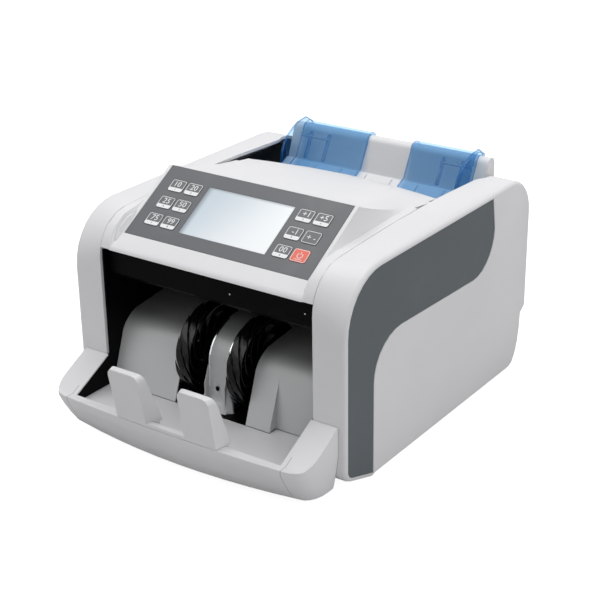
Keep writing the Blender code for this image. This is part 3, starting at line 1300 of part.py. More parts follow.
def note_guides():
    finish = material("guide_blue", (0.10, 0.32, 0.62), 0.15, alpha=0.55)
    path = guide_path(GUIDE_CLEARANCE)
    strip = band(path, GUIDE_SHEET)
    rib_path = path[1:4]
    rib_line = [rib_path[0], rib_path[1]]
    rib = offset_path(rib_line, GUIDE_SHEET / 2) + offset_path(rib_line, GUIDE_SHEET + GUIDE_RIB_HEIGHT)[::-1]
    foot, shoulder = (Vector(point) for point in rib_line)
    rise = (shoulder - foot).normalized()
    bridge_line = [tuple(shoulder - rise * GUIDE_BRIDGE_DROP),
                   tuple(shoulder - rise * (GUIDE_BRIDGE_DROP - GUIDE_SHEET))]
    bridge = (offset_path(bridge_line, GUIDE_SHEET / 2)
              + offset_path(bridge_line, GUIDE_SHEET + GUIDE_RIB_HEIGHT - GAP)[::-1])
    for side, sign, inner in (("left", -1, GUIDE_INNER_LEFT), ("right", 1, GUIDE_INNER_RIGHT)):
        ends = sorted((sign * inner, sign * (GUIDE_WING_X - GUIDE_SHEET / 2)))
        guide = solid(side + "_note_guide", prism(strip, "X", *ends))
        wing = sorted((sign * (GUIDE_WING_X - GUIDE_SHEET), sign * GUIDE_WING_X))
        join(guide, prism(wing_outline(), "X", *wing))
        for step in (0, 1):
            x = sign * (GUIDE_WING_X - GUIDE_RIB_INSET - step * GUIDE_RIB_PITCH)
            join(guide, prism(rib, "X", x - GUIDE_SHEET / 2, x + GUIDE_SHEET / 2))
        reach = GUIDE_WING_X - GUIDE_RIB_INSET - GUIDE_RIB_PITCH
        ends = sorted((sign * reach, sign * (GUIDE_WING_X - GUIDE_SHEET / 2)))
        join(guide, prism(bridge, "X", *ends))
        settle(guide, finish, (sign * GUIDE_WING_X, path[1][0], path[1][1]), smooth=True)


def feed_plates():
    black = material("guide_black", (0.012, 0.012, 0.013), 0.3)
    rear_y = HOPPER_FLOOR_FRONT_Y - GAP
    path = [(BED_FRONT_Y, BED_FRONT_Z), (rear_y, bed_height(rear_y))]
    bed = solid("feed_bed", prism(band(path, -BED_THICKNESS), "X", -INNER_SPAN, INNER_SPAN))
    cut(bed, *roller_slots(FEED_Y, FEED_RADIUS, FEED_PROUD, BED_THICKNESS))
    settle(bed, black)

    start = (retard_axis()[0] - RETARD_RADIUS - PATH_HEIGHT, 0)
    lip = (BED_FRONT_Y - BED_THICKNESS, bed_height(BED_FRONT_Y) + PATH_HEIGHT)
    path = [(start[0], bed_height(start[0]) + PATH_HEIGHT), lip]
    knee = (CEILING_KNEE_Y, CEILING_Z)
    shares = (CEILING_BEND_REACH_SHARE, CEILING_BEND_RISE_SHARE)
    path += [tuple(mix(p, q, share) for p, q, share in zip(lip, knee, shares)), knee]
    chamfer = CEILING_THICKNESS * 2
    path += [(CEILING_FRONT_Y + chamfer, CEILING_Z), (CEILING_FRONT_Y, CEILING_Z + chamfer)]
    path += [(CEILING_FRONT_Y, CEILING_TOP_Z)]
    guide = solid("upper_guide", prism(band(path, -CEILING_THICKNESS), "X", -INNER_SPAN, INNER_SPAN))
    settle(guide, black)


def roller_profile(radius, shaft_radius):
    """Half profile of a roller with two tyres on one hub, as (x, radius) from left to right."""
    outer = TYRE_CENTRE + TYRE_WIDTH / 2
    inner = TYRE_CENTRE - TYRE_WIDTH / 2
    hub = mix(shaft_radius, radius, HUB_SHARE)
    left = [(-outer, radius), (-inner, radius), (-inner, hub)]
    return left + [(-x, r) for x, r in left[::-1]]


def feeding():
    rubber = material("roller_rubber", (0.16, 0.12, 0.10), 0.8)
    steel = material("feed_steel", (0.6, 0.61, 0.63), 0.25, metallic=1.0)
    plastic = material("pulley_black", (0.03, 0.03, 0.032), 0.5)
    reach = PLATE_OUTER + BUSH_LENGTH + GAP
    rows = (("feed", feed_axis(), FEED_RADIUS, FEED_SHAFT_RADIUS, -BELT_OUTER - OVERRUN),
            ("pickup", pickup_axis(), PICKUP_RADIUS, PICKUP_SHAFT_RADIUS, -reach))
    for name, axis, radius, shaft_radius, left in rows:
        pivot = (0, *axis)
        roller = solid(name + "_roller", turned(roller_profile(radius, shaft_radius), axis))
        end = TYRE_CENTRE + TYRE_WIDTH
        cut(roller, bore(-end, end, shaft_radius + GAP, axis))
        settle(roller, rubber, pivot, smooth=True)
        pulley = PICKUP_PULLEY_RADIUS
        profile = [(left, shaft_radius), (reach, shaft_radius), (reach, pulley), (BELT_OUTER, pulley)]
        settle(solid(name + "_shaft", turned(profile, axis, SMALL_STEPS)), steel, pivot, smooth=True)
    for name, axis, radius in (("feed_pulley", feed_axis(), FEED_SHAFT_RADIUS),
                               ("stacker_pulley", (STACKER_Y, STACKER_Z), STACKER_SHAFT_RADIUS)):
        pulley = solid(name, turned([(-BELT_OUTER, PULLEY_RADIUS), (-BELT_INNER, PULLEY_RADIUS)], axis))
        cut(pulley, bore(-BELT_OUTER - OVERRUN, OVERRUN - BELT_INNER, radius + GAP, axis))
        settle(pulley, plastic, (0, *axis), smooth=True)


def retarding():
    rubber = material("retard_rubber", (0.05, 0.05, 0.055), 0.85)
    zinc = material("bracket_zinc", (0.5, 0.5, 0.5), 0.4, metallic=0.8)
    axis = retard_axis()
    half = TYRE_CENTRE + TYRE_WIDTH / 2
    tip = half + GAP + RETARD_CHEEK
    profile = [(-tip, RETARD_AXLE_RADIUS), (-half, RETARD_AXLE_RADIUS), (-half, RETARD_RADIUS),
               (half, RETARD_RADIUS), (half, RETARD_AXLE_RADIUS), (tip, RETARD_AXLE_RADIUS)]
    roller = solid("retard_roller", turned(profile, axis))
    settle(roller, rubber, (0, *axis), smooth=True)

    rod = tie_rod_axis()
    low = axis[1] - RETARD_AXLE_RADIUS * 2
    high = rod[1] + TIE_ROD_RADIUS + RETARD_CHEEK
    front = rod[0] - TIE_ROD_RADIUS - RETARD_CHEEK
    rear = axis[0] + RETARD_RADIUS
    bracket = solid("retard_bracket", box((-tip, front, low), (tip, rear, high)))
    inner = half + GAP
    cut(bracket, box((-inner, front - OVERRUN, low - OVERRUN), (inner, rear + OVERRUN, high - RETARD_CHEEK)))
    cut(bracket, bore(-tip - OVERRUN, tip + OVERRUN, RETARD_AXLE_RADIUS + GAP, axis))
    cut(bracket, bore(-tip - OVERRUN, tip + OVERRUN, TIE_ROD_RADIUS + GAP, rod))
    settle(bracket, zinc)


def belt_path(circles):
    """Outer tangent line round circles (y, z, radius) given in counter-clockwise order."""
    normals = []
    for (y1, z1, r1), (y2, z2, r2) in zip(circles, circles[1:] + circles[:1]):
        distance = math.hypot(y2 - y1, z2 - z1)
        along = math.atan2(z2 - z1, y2 - y1)
        normals.append(along - math.pi / 2 + math.asin((r1 - r2) / distance))
    points = []
    for (y, z, r), start, end in zip(circles, normals[-1:] + normals[:-1], normals):
        while end < start:
            end += 2 * math.pi
        outside = r / math.cos((end - start) / BELT_STEPS / 2)
        points += arc((y, z), (outside, outside), math.degrees(start), math.degrees(end), BELT_STEPS)
    return points


def belt_solid(name, circles, low, high, finish):
    inner = belt_path([(y, z, r + GAP) for y, z, r in circles])
    outer = belt_path([(y, z, r + GAP + BELT_THICKNESS) for y, z, r in circles])
    rings = [[(low, y, z) for y, z in inner], [(high, y, z) for y, z in inner],
             [(high, y, z) for y, z in outer], [(low, y, z) for y, z in outer]]
    settle(solid(name, loft(rings, looped=True)), finish, smooth=True)


def driving():
    rubber = material("belt_black", (0.02, 0.02, 0.02), 0.7)
    metal = material("motor_metal", (0.5, 0.5, 0.52), 0.35, metallic=0.9)
    plastic = material("motor_pulley_black", (0.03, 0.03, 0.032), 0.5)
    motor = (MOTOR_Y, MOTOR_Z, MOTOR_PULLEY_RADIUS)
    stacker_circle = (STACKER_Y, STACKER_Z, PULLEY_RADIUS)
    feed = (*feed_axis(), PULLEY_RADIUS)
    belt_solid("drive_belt", [motor, feed, stacker_circle], -BELT_OUTER, -BELT_INNER, rubber)
    pickup = (*pickup_axis(), PICKUP_PULLEY_RADIUS)
    feed_small = (*feed_axis(), PICKUP_PULLEY_RADIUS)
    belt_solid("pickup_belt", [feed_small, pickup], BELT_INNER, BELT_OUTER, rubber)

    centre = (MOTOR_Y, MOTOR_Z)
    face = -(PLATE_INNER - GAP)
    boss = MOTOR_RADIUS / 3
    end = face + MOTOR_LENGTH
    can = solid("drive_motor", turned([(face, MOTOR_RADIUS), (end, MOTOR_RADIUS), (end, boss),
                                       (end + BUSH_LENGTH, boss)], centre))
    cut(can, bore(face - OVERRUN, face + MOTOR_BORE_DEPTH, MOTOR_SHAFT_RADIUS + GAP, centre))
    settle(can, metal, smooth=True)
    tip = face + MOTOR_BORE_DEPTH - 2 * GAP
    profile = [(-BELT_OUTER, MOTOR_PULLEY_RADIUS), (-BELT_INNER, MOTOR_PULLEY_RADIUS),
               (-BELT_INNER, MOTOR_SHAFT_RADIUS), (tip, MOTOR_SHAFT_RADIUS)]
    settle(solid("motor_pulley", turned(profile, centre, SMALL_STEPS)), plastic, (0, *centre), smooth=True)


def main_board():
    finish = material("main_board_green", (0.02, 0.15, 0.07), 0.5)
    board = solid("main_board", box((-MAIN_BOARD_LEFT, MAIN_BOARD_FRONT_Y, MAIN_BOARD_Z),
                                    (MAIN_BOARD_RIGHT, MAIN_BOARD_REAR_Y, MAIN_BOARD_Z + BOARD_THICKNESS)))
    far = (MAIN_BOARD_RIGHT - TRANSFORMER_INSET, MAIN_BOARD_REAR_Y - TRANSFORMER_INSET)
    seat = MAIN_BOARD_Z + BOARD_THICKNESS / 2
    near = (far[0] - TRANSFORMER_SIZE, far[1] - TRANSFORMER_SIZE)
    join(board, box((*near, seat), (*far, seat + TRANSFORMER_HEIGHT)))
    for i in range(CAPACITOR_COUNT):
        x = MAIN_BOARD_RIGHT - TRANSFORMER_SIZE / 2 - i * CAPACITOR_PITCH
        y = MAIN_BOARD_FRONT_Y + CAPACITOR_RADIUS * 2
        join(board, upright((x, y), CAPACITOR_RADIUS, seat, seat + CAPACITOR_HEIGHT))
    settle(board, finish)


def rear_cover():
    finish = material("rear_cover_white", (0.76, 0.77, 0.79), 0.45)
    face = BODY_DEPTH - REAR_RECESS
    centre = (BODY_DEPTH - REAR_CORNER_RADIUS, REAR_HEIGHT - REAR_CORNER_RADIUS)
    radius = REAR_CORNER_RADIUS - REAR_RECESS
    stop_y = backrest_front()[1][0] + BACKREST_THICKNESS + REAR_COVER_TOP_GAP
    top_angle = math.degrees(math.acos((stop_y - centre[0]) / (radius - WALL)))
    path = [(face, STEP_HEIGHT - STEP_DROP + GAP)] + arc(centre, (radius, radius), 0, top_angle, 5)
    cover = solid("rear_cover", prism(band(path, WALL), "X", GAP - HOPPER_HALF, HOPPER_HALF - GAP))
    for i in range(VENT_COUNT):
        x = -VENT_CENTRE_X + (i - (VENT_COUNT - 1) / 2) * VENT_PITCH
        cut(cover, box((x - VENT_WIDTH / 2, face - WALL * 2, VENT_CENTRE_Z - VENT_HEIGHT / 2),
                       (x + VENT_WIDTH / 2, face + OVERRUN, VENT_CENTRE_Z + VENT_HEIGHT / 2)))
    half_x = INLET_WIDTH / 2 - INLET_LIP + GAP
    half_z = INLET_HEIGHT / 2 - INLET_LIP + GAP
    cut(cover, box((INLET_CENTRE_X - half_x, face - WALL * 2, INLET_CENTRE_Z - half_z),
                   (INLET_CENTRE_X + half_x, face + OVERRUN, INLET_CENTRE_Z + half_z)))
    settle(cover, finish, smooth=True)


def inlet_face():
    """Y of the outer face of the inlet's flange, just inside the side covers' rear face."""
    return BODY_DEPTH - REAR_RECESS + GAP + INLET_FLANGE


def power_inlet():
    """Inlet socket and switch frame in one moulding, clipped through the rear cover."""
    finish = material("inlet_black", (0.02, 0.02, 0.022), 0.4)
    face = inlet_face()
    x, z = INLET_CENTRE_X, INLET_CENTRE_Z
    inlet = solid("power_inlet", box((x - INLET_WIDTH / 2, face - INLET_FLANGE, z - INLET_HEIGHT / 2),
                                     (x + INLET_WIDTH / 2, face, z + INLET_HEIGHT / 2)))
    half_x = INLET_WIDTH / 2 - INLET_LIP
    half_z = INLET_HEIGHT / 2 - INLET_LIP
    join(inlet, box((x - half_x, face - INLET_BODY_DEPTH, z - half_z),
                    (x + half_x, face - INLET_FLANGE / 2, z + half_z)))
    sx = x + SOCKET_OFFSET
    w, h, c = SOCKET_WIDTH / 2, SOCKET_HEIGHT / 2, SOCKET_CHAMFER
    mouth = [(sx - w, z - h), (sx + w, z - h), (sx + w, z + h - c), (sx + w - c, z + h),
             (sx - w + c, z + h), (sx - w, z + h - c)]
    cut(inlet, prism(mouth, "Y", face - SOCKET_DEPTH, face + OVERRUN))
    for dx, dz in ((-PIN_SPACING, -PIN_DROP), (PIN_SPACING, -PIN_DROP), (0, PIN_DROP)):
        join(inlet, box((sx + dx - PIN_WIDTH / 2, face - SOCKET_DEPTH - OVERRUN, z + dz - PIN_HEIGHT / 2),
                        (sx + dx + PIN_WIDTH / 2, face - SOCKET_DEPTH + PIN_LENGTH, z + dz + PIN_HEIGHT / 2)))
    rx = x - ROCKER_OFFSET
    half = ROCKER_WIDTH / 2 + GAP
    cut(inlet, box((rx - half, face - INLET_BODY_DEPTH + INLET_FLANGE, z - ROCKER_BORE_HALF),
                   (rx + half, face + OVERRUN, z + ROCKER_BORE_HALF)))
    pivot = rocker_pivot()
    reach = half + ROCKER_TRUNNION + GAP
    seat = ROCKER_TRUNNION + GAP
    cut(inlet, turned([(rx - reach, seat), (rx + reach, seat)], pivot[1:], 8))
    settle(inlet, finish)


def rocker_pivot():
    return INLET_CENTRE_X - ROCKER_OFFSET, inlet_face() - ROCKER_PIVOT_DEPTH, INLET_CENTRE_Z


def power_rocker():
    finish = material("rocker_red", (0.55, 0.03, 0.02), 0.35)
    x, y, z = rocker_pivot()
    h = ROCKER_HALF_HEIGHT
    back = h * ROCKER_BACK_SHARE
    side_view = [(y - ROCKER_BACK, z - back), (y + ROCKER_TIP, z - h), (y + ROCKER_WAIST, z),
                 (y + ROCKER_TIP, z + h), (y - ROCKER_BACK, z + back)]
    half = ROCKER_WIDTH / 2
    rocker = solid("power_rocker", tilted(prism(side_view, "X", x - half, x + half), (y, z), ROCKER_TILT))
    reach = half + ROCKER_TRUNNION
    join(rocker, turned([(x - reach, ROCKER_TRUNNION), (x + reach, ROCKER_TRUNNION)], (y, z), 8))
    settle(rocker, finish, (x, y, z))


for old in list(bpy.data.objects):
    bpy.data.objects.remove(old)

base_pan()
feet()
side_covers()
side_inlays()
centre_cover()
panel_pieces()
keys()
front_tray()
note_stop()
frames()
tie_rod()
stacker_backplate()
centre_nose()
stacker()
hopper()
note_guides()
feed_plates()
feeding()
retarding()
driving()
main_board()
rear_cover()
power_inlet()
power_rocker()
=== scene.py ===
import json
import math

import bmesh
import bpy
import numpy as np
from mathutils import Matrix, Vector


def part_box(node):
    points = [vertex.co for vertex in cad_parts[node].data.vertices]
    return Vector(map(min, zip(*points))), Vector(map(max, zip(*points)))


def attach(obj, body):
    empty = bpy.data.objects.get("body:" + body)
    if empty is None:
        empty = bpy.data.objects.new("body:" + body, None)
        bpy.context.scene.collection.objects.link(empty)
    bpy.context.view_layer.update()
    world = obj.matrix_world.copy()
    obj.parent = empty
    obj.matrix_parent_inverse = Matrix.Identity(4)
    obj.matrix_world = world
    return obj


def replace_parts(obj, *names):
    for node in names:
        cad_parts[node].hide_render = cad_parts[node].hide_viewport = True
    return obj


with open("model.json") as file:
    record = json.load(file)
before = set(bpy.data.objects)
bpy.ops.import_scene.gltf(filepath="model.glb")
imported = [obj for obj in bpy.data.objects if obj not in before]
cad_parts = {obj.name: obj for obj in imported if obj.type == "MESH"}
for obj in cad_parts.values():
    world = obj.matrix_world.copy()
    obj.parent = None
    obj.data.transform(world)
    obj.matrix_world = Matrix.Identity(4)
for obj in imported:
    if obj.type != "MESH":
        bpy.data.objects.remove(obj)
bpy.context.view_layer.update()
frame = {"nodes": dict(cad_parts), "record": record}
slots = {part["node"]: part["material_slot"] for part in frame["record"]["subparts"]}
bodies = {node: body for body, nodes in frame["record"]["behaviour"]["bodies"].items() for node in nodes}

# %% [markdown]
# ## The camera
#
# The photograph looks down on the machine from its front right corner. Its viewing angle was worked out
# from the edges that are straight and level on the real object. A camera could also be aimed with a
# constraint, but a matrix made from three angles says the same thing and can't drift.
# %% Place the camera
CAMERA_PLACE = Vector((0.6756, -0.9370, 0.6032))
CAMERA_TURN, CAMERA_PITCH, CAMERA_ROLL = (math.radians(angle) for angle in (35.37, 23.84, -0.8385))
SENSOR_WIDTH = 36.0
FRAME_PIXELS = 600
FOCAL_PIXELS = 1472.0


def camera_axes(turn, pitch, roll):
    """The camera's right, up and backward directions, from its turn left, its pitch down and its roll."""
    ahead = Vector((-math.sin(turn) * math.cos(pitch), math.cos(turn) * math.cos(pitch), -math.sin(pitch)))
    level = Vector((math.cos(turn), math.sin(turn), 0))
    rise = level.cross(ahead)
    right = math.cos(roll) * level + math.sin(roll) * rise
    up = -math.sin(roll) * level + math.cos(roll) * rise
    return right, up, -ahead


camera = bpy.data.objects.new("camera", bpy.data.cameras.new("camera"))
camera.data.sensor_width = SENSOR_WIDTH
camera.data.lens = SENSOR_WIDTH * FOCAL_PIXELS / FRAME_PIXELS
camera.matrix_world = Matrix.LocRotScale(
    CAMERA_PLACE, Matrix(camera_axes(CAMERA_TURN, CAMERA_PITCH, CAMERA_ROLL)).transposed(), None)
bpy.context.scene.collection.objects.link(camera)
bpy.context.scene.camera = camera
print("lens, mm:", round(camera.data.lens, 1))

# %% [markdown]
# ## Shader maths that reads like maths
#
# A procedural finish is arithmetic on positions: a mask is a distance, a grain is a noise. Math nodes do
# that arithmetic. A small class that wraps a node's output and overloads the operators lets the
# formulas below be written as ordinary sums, and one method adds every other kind of node.
# %% Wrap sockets and materials
EDGE_SAMPLES = 4
EDGE_TURN = (0.02, 0.25)
finishes = {}


class Socket:
    """The output of a node, so that sums on it add Math nodes."""

    def __init__(self, shader, output):
        self.shader, self.output = shader, output

    def maths(self, operation, first, second=0.0):
        return self.shader.node("ShaderNodeMath", {"operation": operation}, {0: first, 1: second})

    def __add__(self, other):
        return self.maths("ADD", self, other)

    def __sub__(self, other):
        return self.maths("SUBTRACT", self, other)

    def __rsub__(self, other):
        return self.maths("SUBTRACT", other, self)

    def __mul__(self, other):
        return self.maths("MULTIPLY", self, other)

    def __truediv__(self, other):
        return self.maths("DIVIDE", self, other)

    def __abs__(self):
        return self.maths("ABSOLUTE", self)

    def __mod__(self, other):
        return self.maths("FLOORED_MODULO", self, other)

    __radd__ = __add__
    __rmul__ = __mul__

    def most(self, other):
        """The larger of two values."""
        return self.maths("MAXIMUM", self, other)

    def least(self, other):
        """The smaller of two values."""
        return self.maths("MINIMUM", self, other)

    def power(self, other):
        return self.maths("POWER", self, other)

    def step(self, low, high):
        """0 up to low, 1 from high, and an even, soft rise between."""
        return self.shader.node("ShaderNodeMapRange", {"interpolation_type": "SMOOTHSTEP"},
                                {"Value": self, "From Min": low, "From Max": high})


class Shader:
    """A material's nodes. Positions are the object's own, in metres."""

    def __init__(self, name):
        self.name = name
        self.material = bpy.data.materials.new(name)
        self.material.use_nodes = True
        self.tree = self.material.node_tree
        self.tree.nodes.clear()
        self.place = self.node("ShaderNodeTexCoord", output="Object")

    def node(self, kind, settings=None, values=None, output=0):
        """Any node: its settings first, then its sockets' values or links. Returns one of its outputs."""
        made = self.tree.nodes.new(kind)
        for name, value in (settings or {}).items():
            setattr(made, name, value)
        for name, value in (values or {}).items():
            if isinstance(value, Socket):
                self.tree.links.new(value.output, made.inputs[name])
            else:
                made.inputs[name].default_value = value
        return Socket(self, made.outputs[output])

    def axes(self):
        """The position's x, y and z as three sockets."""
        return [self.node("ShaderNodeSeparateXYZ", None, {0: self.place}, output=i) for i in range(3)]

    def stretched(self, scale):
        """The position with each axis multiplied by its own scale, which makes a pattern long or short."""
        return self.node("ShaderNodeMapping", None, {"Vector": self.place, "Scale": scale})

    def noise(self, scale, detail=2.0, place=None):
        """Soft noise from 0 to 1, with about scale waves to the metre."""
        return self.node("ShaderNodeTexNoise", None,
                         {"Vector": place or self.place, "Scale": scale, "Detail": detail})

    def mix(self, share, first, second):
        """Two colours mixed by a mask."""
        return self.node("ShaderNodeMix", {"data_type": "RGBA"}, {0: share, 6: first, 7: second}, output=2)

    def rounded_normal(self, radius):
        """A surface normal that turns smoothly over the edges, as if they had this radius."""
        return self.node("ShaderNodeBevel", {"samples": EDGE_SAMPLES}, {"Radius": radius})

    def edges(self, radius):
        """1 along sharp edges and 0 away from them: how far the rounded normal leaves the true one."""
        true = self.node("ShaderNodeNewGeometry", output="Normal")
        dot = self.node("ShaderNodeVectorMath", {"operation": "DOT_PRODUCT"},
                        {0: self.rounded_normal(radius), 1: true}, output="Value")
        return (1 - dot).step(*EDGE_TURN)

    def surface(self, colour, roughness, height=None, depth=0.0, radius=None, constants=None):
        """The finished material. height is a pattern and depth its relief in metres; radius softens edges."""
        values = {"Base Color": colour, "Roughness": roughness, **(constants or {})}
        normal = self.rounded_normal(radius) if radius else None
        if height is not None:
            relief = {"Height": height, "Distance": depth, "Strength": 1.0}
            if normal:
                relief["Normal"] = normal
            normal = self.node("ShaderNodeBump", None, relief)
        if normal:
            values["Normal"] = normal
        return self.finish(self.node("ShaderNodeBsdfPrincipled", None, values))

    def finish(self, shaded):
        """Ends the material with this surface and keeps it in the table of finishes by its name."""
        made = self.tree.nodes.new("ShaderNodeOutputMaterial")
        self.tree.links.new(shaded.output, made.inputs["Surface"])
        finishes[self.name] = self.material
        return self.material


def grey(value, tint=0.0):
    """A near neutral colour. A tint above 0 leans towards blue."""
    return (value * (1 - tint), value, value * (1 + tint), 1.0)


print("shader classes ready")

# %% [markdown]
# ## Moulded plastics
#
# The white covers are moulded with a fine spark-eroded grain that turns highlights into a soft sheen.
# Grain is a dense noise used as a bump a few hundredths of a millimetre deep. Large mouldings are never
# perfectly even, so a slow noise shifts the tone by about one part in a hundred, handling leaves slightly
# smoother patches, and the edges rub a little lighter.
# %% Make the moulded finishes
CLOUD_SCALE, CLOUD_RANGE = 9, (0.3, 0.7)
HANDLED_SCALE, HANDLED_RANGE, HANDLED_POLISH = 38, (0.52, 0.74), 0.07
RUB_REACH, RUB_SHARE = 1.5, 0.8
SHADE_SHARE, PAINTED_SHADE_GREY = 0.62, 0.02
JOINT_RANGE, JOINT_FADE, JOINT_SHARE, JOINT_GREY = (0.00010, 0.00034), 0.0005, 0.75, 0.12
TRAY_JOINT = (0.1085, -0.152)
# Painted shade: the y ranges over which the grey sheet and the nose darken under the cover.
SHEET_SHADE, NOSE_SHADE = (-0.103, -0.082), (-0.100, -0.080)


def moulded(name, colour, roughness, grain=1500, depth=0.00003, cloud=0.02, wear=0.06, radius=0.0006,
            joint=None, shade=None):
    """Textured moulding: colour times cloudiness, lighter on edges, and smoother where it is handled.
    joint gives the distance from the middle plane, and the y, of a thin line where two halves of a mould met.
    shade gives the y values between which the surface is darkened towards the rollers: painted shade for the
    shadow that the cover above casts."""
    shader = Shader(name)
    tone = shader.noise(CLOUD_SCALE, 3)
    handled = shader.noise(HANDLED_SCALE, 4).step(*HANDLED_RANGE)
    dark = tuple(channel * (1 - cloud) for channel in colour[:3]) + (1,)
    light = tuple(min(1, channel * (1 + cloud)) for channel in colour[:3]) + (1,)
    rubbed = tuple(channel + (1 - channel) * wear for channel in colour[:3]) + (1,)
    base = shader.mix(tone.step(*CLOUD_RANGE), dark, light)
    base = shader.mix(shader.edges(radius * RUB_REACH) * RUB_SHARE, base, rubbed)
    relief = shader.noise(grain, 2) + shader.noise(grain * 3, 1) * 0.4
    # Painted shade: the colour falls to a dark grey towards the rollers, where the cover above shades the
    # surface.
    if shade:
        _, y, _ = shader.axes()
        base = shader.mix(y.step(*shade) * SHADE_SHARE, base, grey(PAINTED_SHADE_GREY))
    if joint:
        x, y, _ = shader.axes()
        across, end = joint
        line = (1 - abs(abs(x) - across).step(*JOINT_RANGE)) * (1 - y.step(end, end + JOINT_FADE))
        base = shader.mix(line * JOINT_SHARE, base, grey(JOINT_GREY))
    return shader.surface(base, roughness - handled * HANDLED_POLISH, relief, depth, radius)


moulded("body_white", (0.797, 0.794, 0.812, 1), 0.46)
moulded("tray_white", (0.797, 0.796, 0.812, 1), 0.46, joint=TRAY_JOINT)
moulded("inlay_grey", (0.092, 0.110, 0.122, 1), 0.42, grain=1300, depth=0.00004, cloud=0.05, wear=0.10)
moulded("base_grey", grey(0.33, 0.02), 0.55, wear=0.04)
moulded("sheet_grey", grey(0.66, 0.01), 0.36, grain=900, depth=0.00002, shade=SHEET_SHADE)
moulded("nose_grey", grey(0.58, 0.015), 0.26, grain=2200, depth=0.00001, shade=NOSE_SHADE)
moulded("inlet_black", grey(0.02), 0.42, grain=1800, cloud=0.1, wear=0.08)
moulded("pulley_black", grey(0.03), 0.45, grain=1800, cloud=0.1, wear=0.08)
moulded("rocker_red", (0.55, 0.03, 0.02, 1), 0.3, grain=3000, depth=0.000005, wear=0.08)
print("moulded finishes:", len(finishes))

# %% [markdown]
# ## Glossy black mouldings and rubber
#
# The walls of the note path are polished black, so that notes slide, and they carry faint rub lines in
# the direction that the notes take. The wheel vanes are a soft elastomer with a skin that shines.
# Rollers are ground rubber: matte, with fine rings round them and paler dust where the notes run.
# %% Make the black, rubber and metal finishes
SOFT_EDGE, GLOSS_EDGE = 0.0004, 0.0006
METAL_TINT, SPANGLE_SCALE = 0.01, 260.0
TRACK_PITCH, TRACK_LINE = 0.0051, (0.0004, 0.0006)
CROSS_PITCH, CROSS_LINE = 0.0076, (0.0003, 0.0005)
PAD_PITCH, PAD_EDGE = 0.0127, (0.0008, 0.0010)
MASK_GREEN, TRACK_GREEN = (0.010, 0.105, 0.045, 1), (0.022, 0.190, 0.085, 1)


def polished_black():
    """Black gloss: long noise along the note path scratches the roughness, and dust lifts the tone."""
    shader = Shader("black_plastic")
    lines = shader.noise(1, 4, shader.stretched((900, 12, 60)))
    dust = shader.noise(55, 5).step(0.55, 0.85)
    base = shader.mix(dust * 0.35, grey(0.0018), grey(0.008))
    return shader.surface(base, 0.34 + lines * 0.10 + dust * 0.18, lines, 0.00001, GLOSS_EDGE,
                          {"Specular IOR Level": 0.05})


def elastomer(name, value, roughness, ring, depth, shine=0.5):
    """Rubber with fine rings: noise stretched thin across the roller's width, dust in slow patches."""
    shader = Shader(name)
    rings = shader.noise(1, 3, shader.stretched((ring, ring * 0.04, ring * 0.04)))
    dust = shader.noise(120, 4).step(0.45, 0.8)
    base = shader.mix(dust * 0.4, grey(value), grey(value * 1.9 + 0.01))
    return shader.surface(base, roughness + dust * 0.12, rings, depth, SOFT_EDGE,
                          {"Specular IOR Level": shine})


def metal(name, value, roughness, stretch, flecks=0.0):
    """Bare metal: noise drawn out along one axis is the grain; zinc plate adds soft crystal flecks."""
    shader = Shader(name)
    grain = shader.noise(1, 3, shader.stretched(stretch))
    spangle = shader.node("ShaderNodeTexVoronoi", None, {"Vector": shader.place, "Scale": SPANGLE_SCALE},
                          output="Color")
    tone = shader.noise(25, 3).step(0.25, 0.75)
    base = shader.mix(tone, grey(value * 0.92, METAL_TINT), grey(value * 1.05, METAL_TINT))
    base = shader.mix(flecks, base, spangle) if flecks else base
    return shader.surface(base, roughness + grain * 0.16, grain, 0.000008, SOFT_EDGE, {"Metallic": 1.0})


def board_green():
    """Solder mask: a grid of copper tracks shows through as a lighter green, pads as small tinned dots."""
    shader = Shader("board_green")
    x, y, z = shader.axes()
    along = abs((x % TRACK_PITCH) - TRACK_PITCH / 2).step(*TRACK_LINE)
    across = abs(((y + z) % CROSS_PITCH) - CROSS_PITCH / 2).step(*CROSS_LINE)
    chosen = shader.noise(90, 1).step(0.45, 0.5)
    tracks = (1 - along * across) * chosen
    pad_x, pad_y = (x % PAD_PITCH) - PAD_PITCH / 2, (y % PAD_PITCH) - PAD_PITCH / 2
    pads = 1 - (pad_x * pad_x + pad_y * pad_y).power(0.5).step(*PAD_EDGE)
    base = shader.mix(tracks, MASK_GREEN, TRACK_GREEN)
    base = shader.mix(pads, base, grey(0.62))
    return shader.surface(base, 0.34 - tracks * 0.06, tracks + pads, 0.00004, None, {"Coat Weight": 0.25})


polished_black()
elastomer("wheel_black", 0.003, 0.16, 900, 0.000006, 0.22)
elastomer("roller_rubber", 0.10, 0.62, 1600, 0.00003)
elastomer("retard_rubber", 0.045, 0.66, 1600, 0.00003)
elastomer("belt_rubber", 0.020, 0.60, 1200, 0.00002)
elastomer("foot_rubber", 0.022, 0.68, 1500, 0.00003)
metal("chassis_steel", 0.58, 0.30, (60, 900, 900), flecks=0.06)
metal("shaft_steel", 0.64, 0.16, (2200, 90, 90))
metal("motor_metal", 0.46, 0.34, (1400, 60, 60))
metal("module_metal", 0.34, 0.32, (900, 90, 900))
metal("bright_strip", 0.86, 0.07, (900, 40, 40))
metal("screw_steel", 0.52, 0.22, (1200, 1200, 1200))
board_green()
print("finishes:", len(finishes))

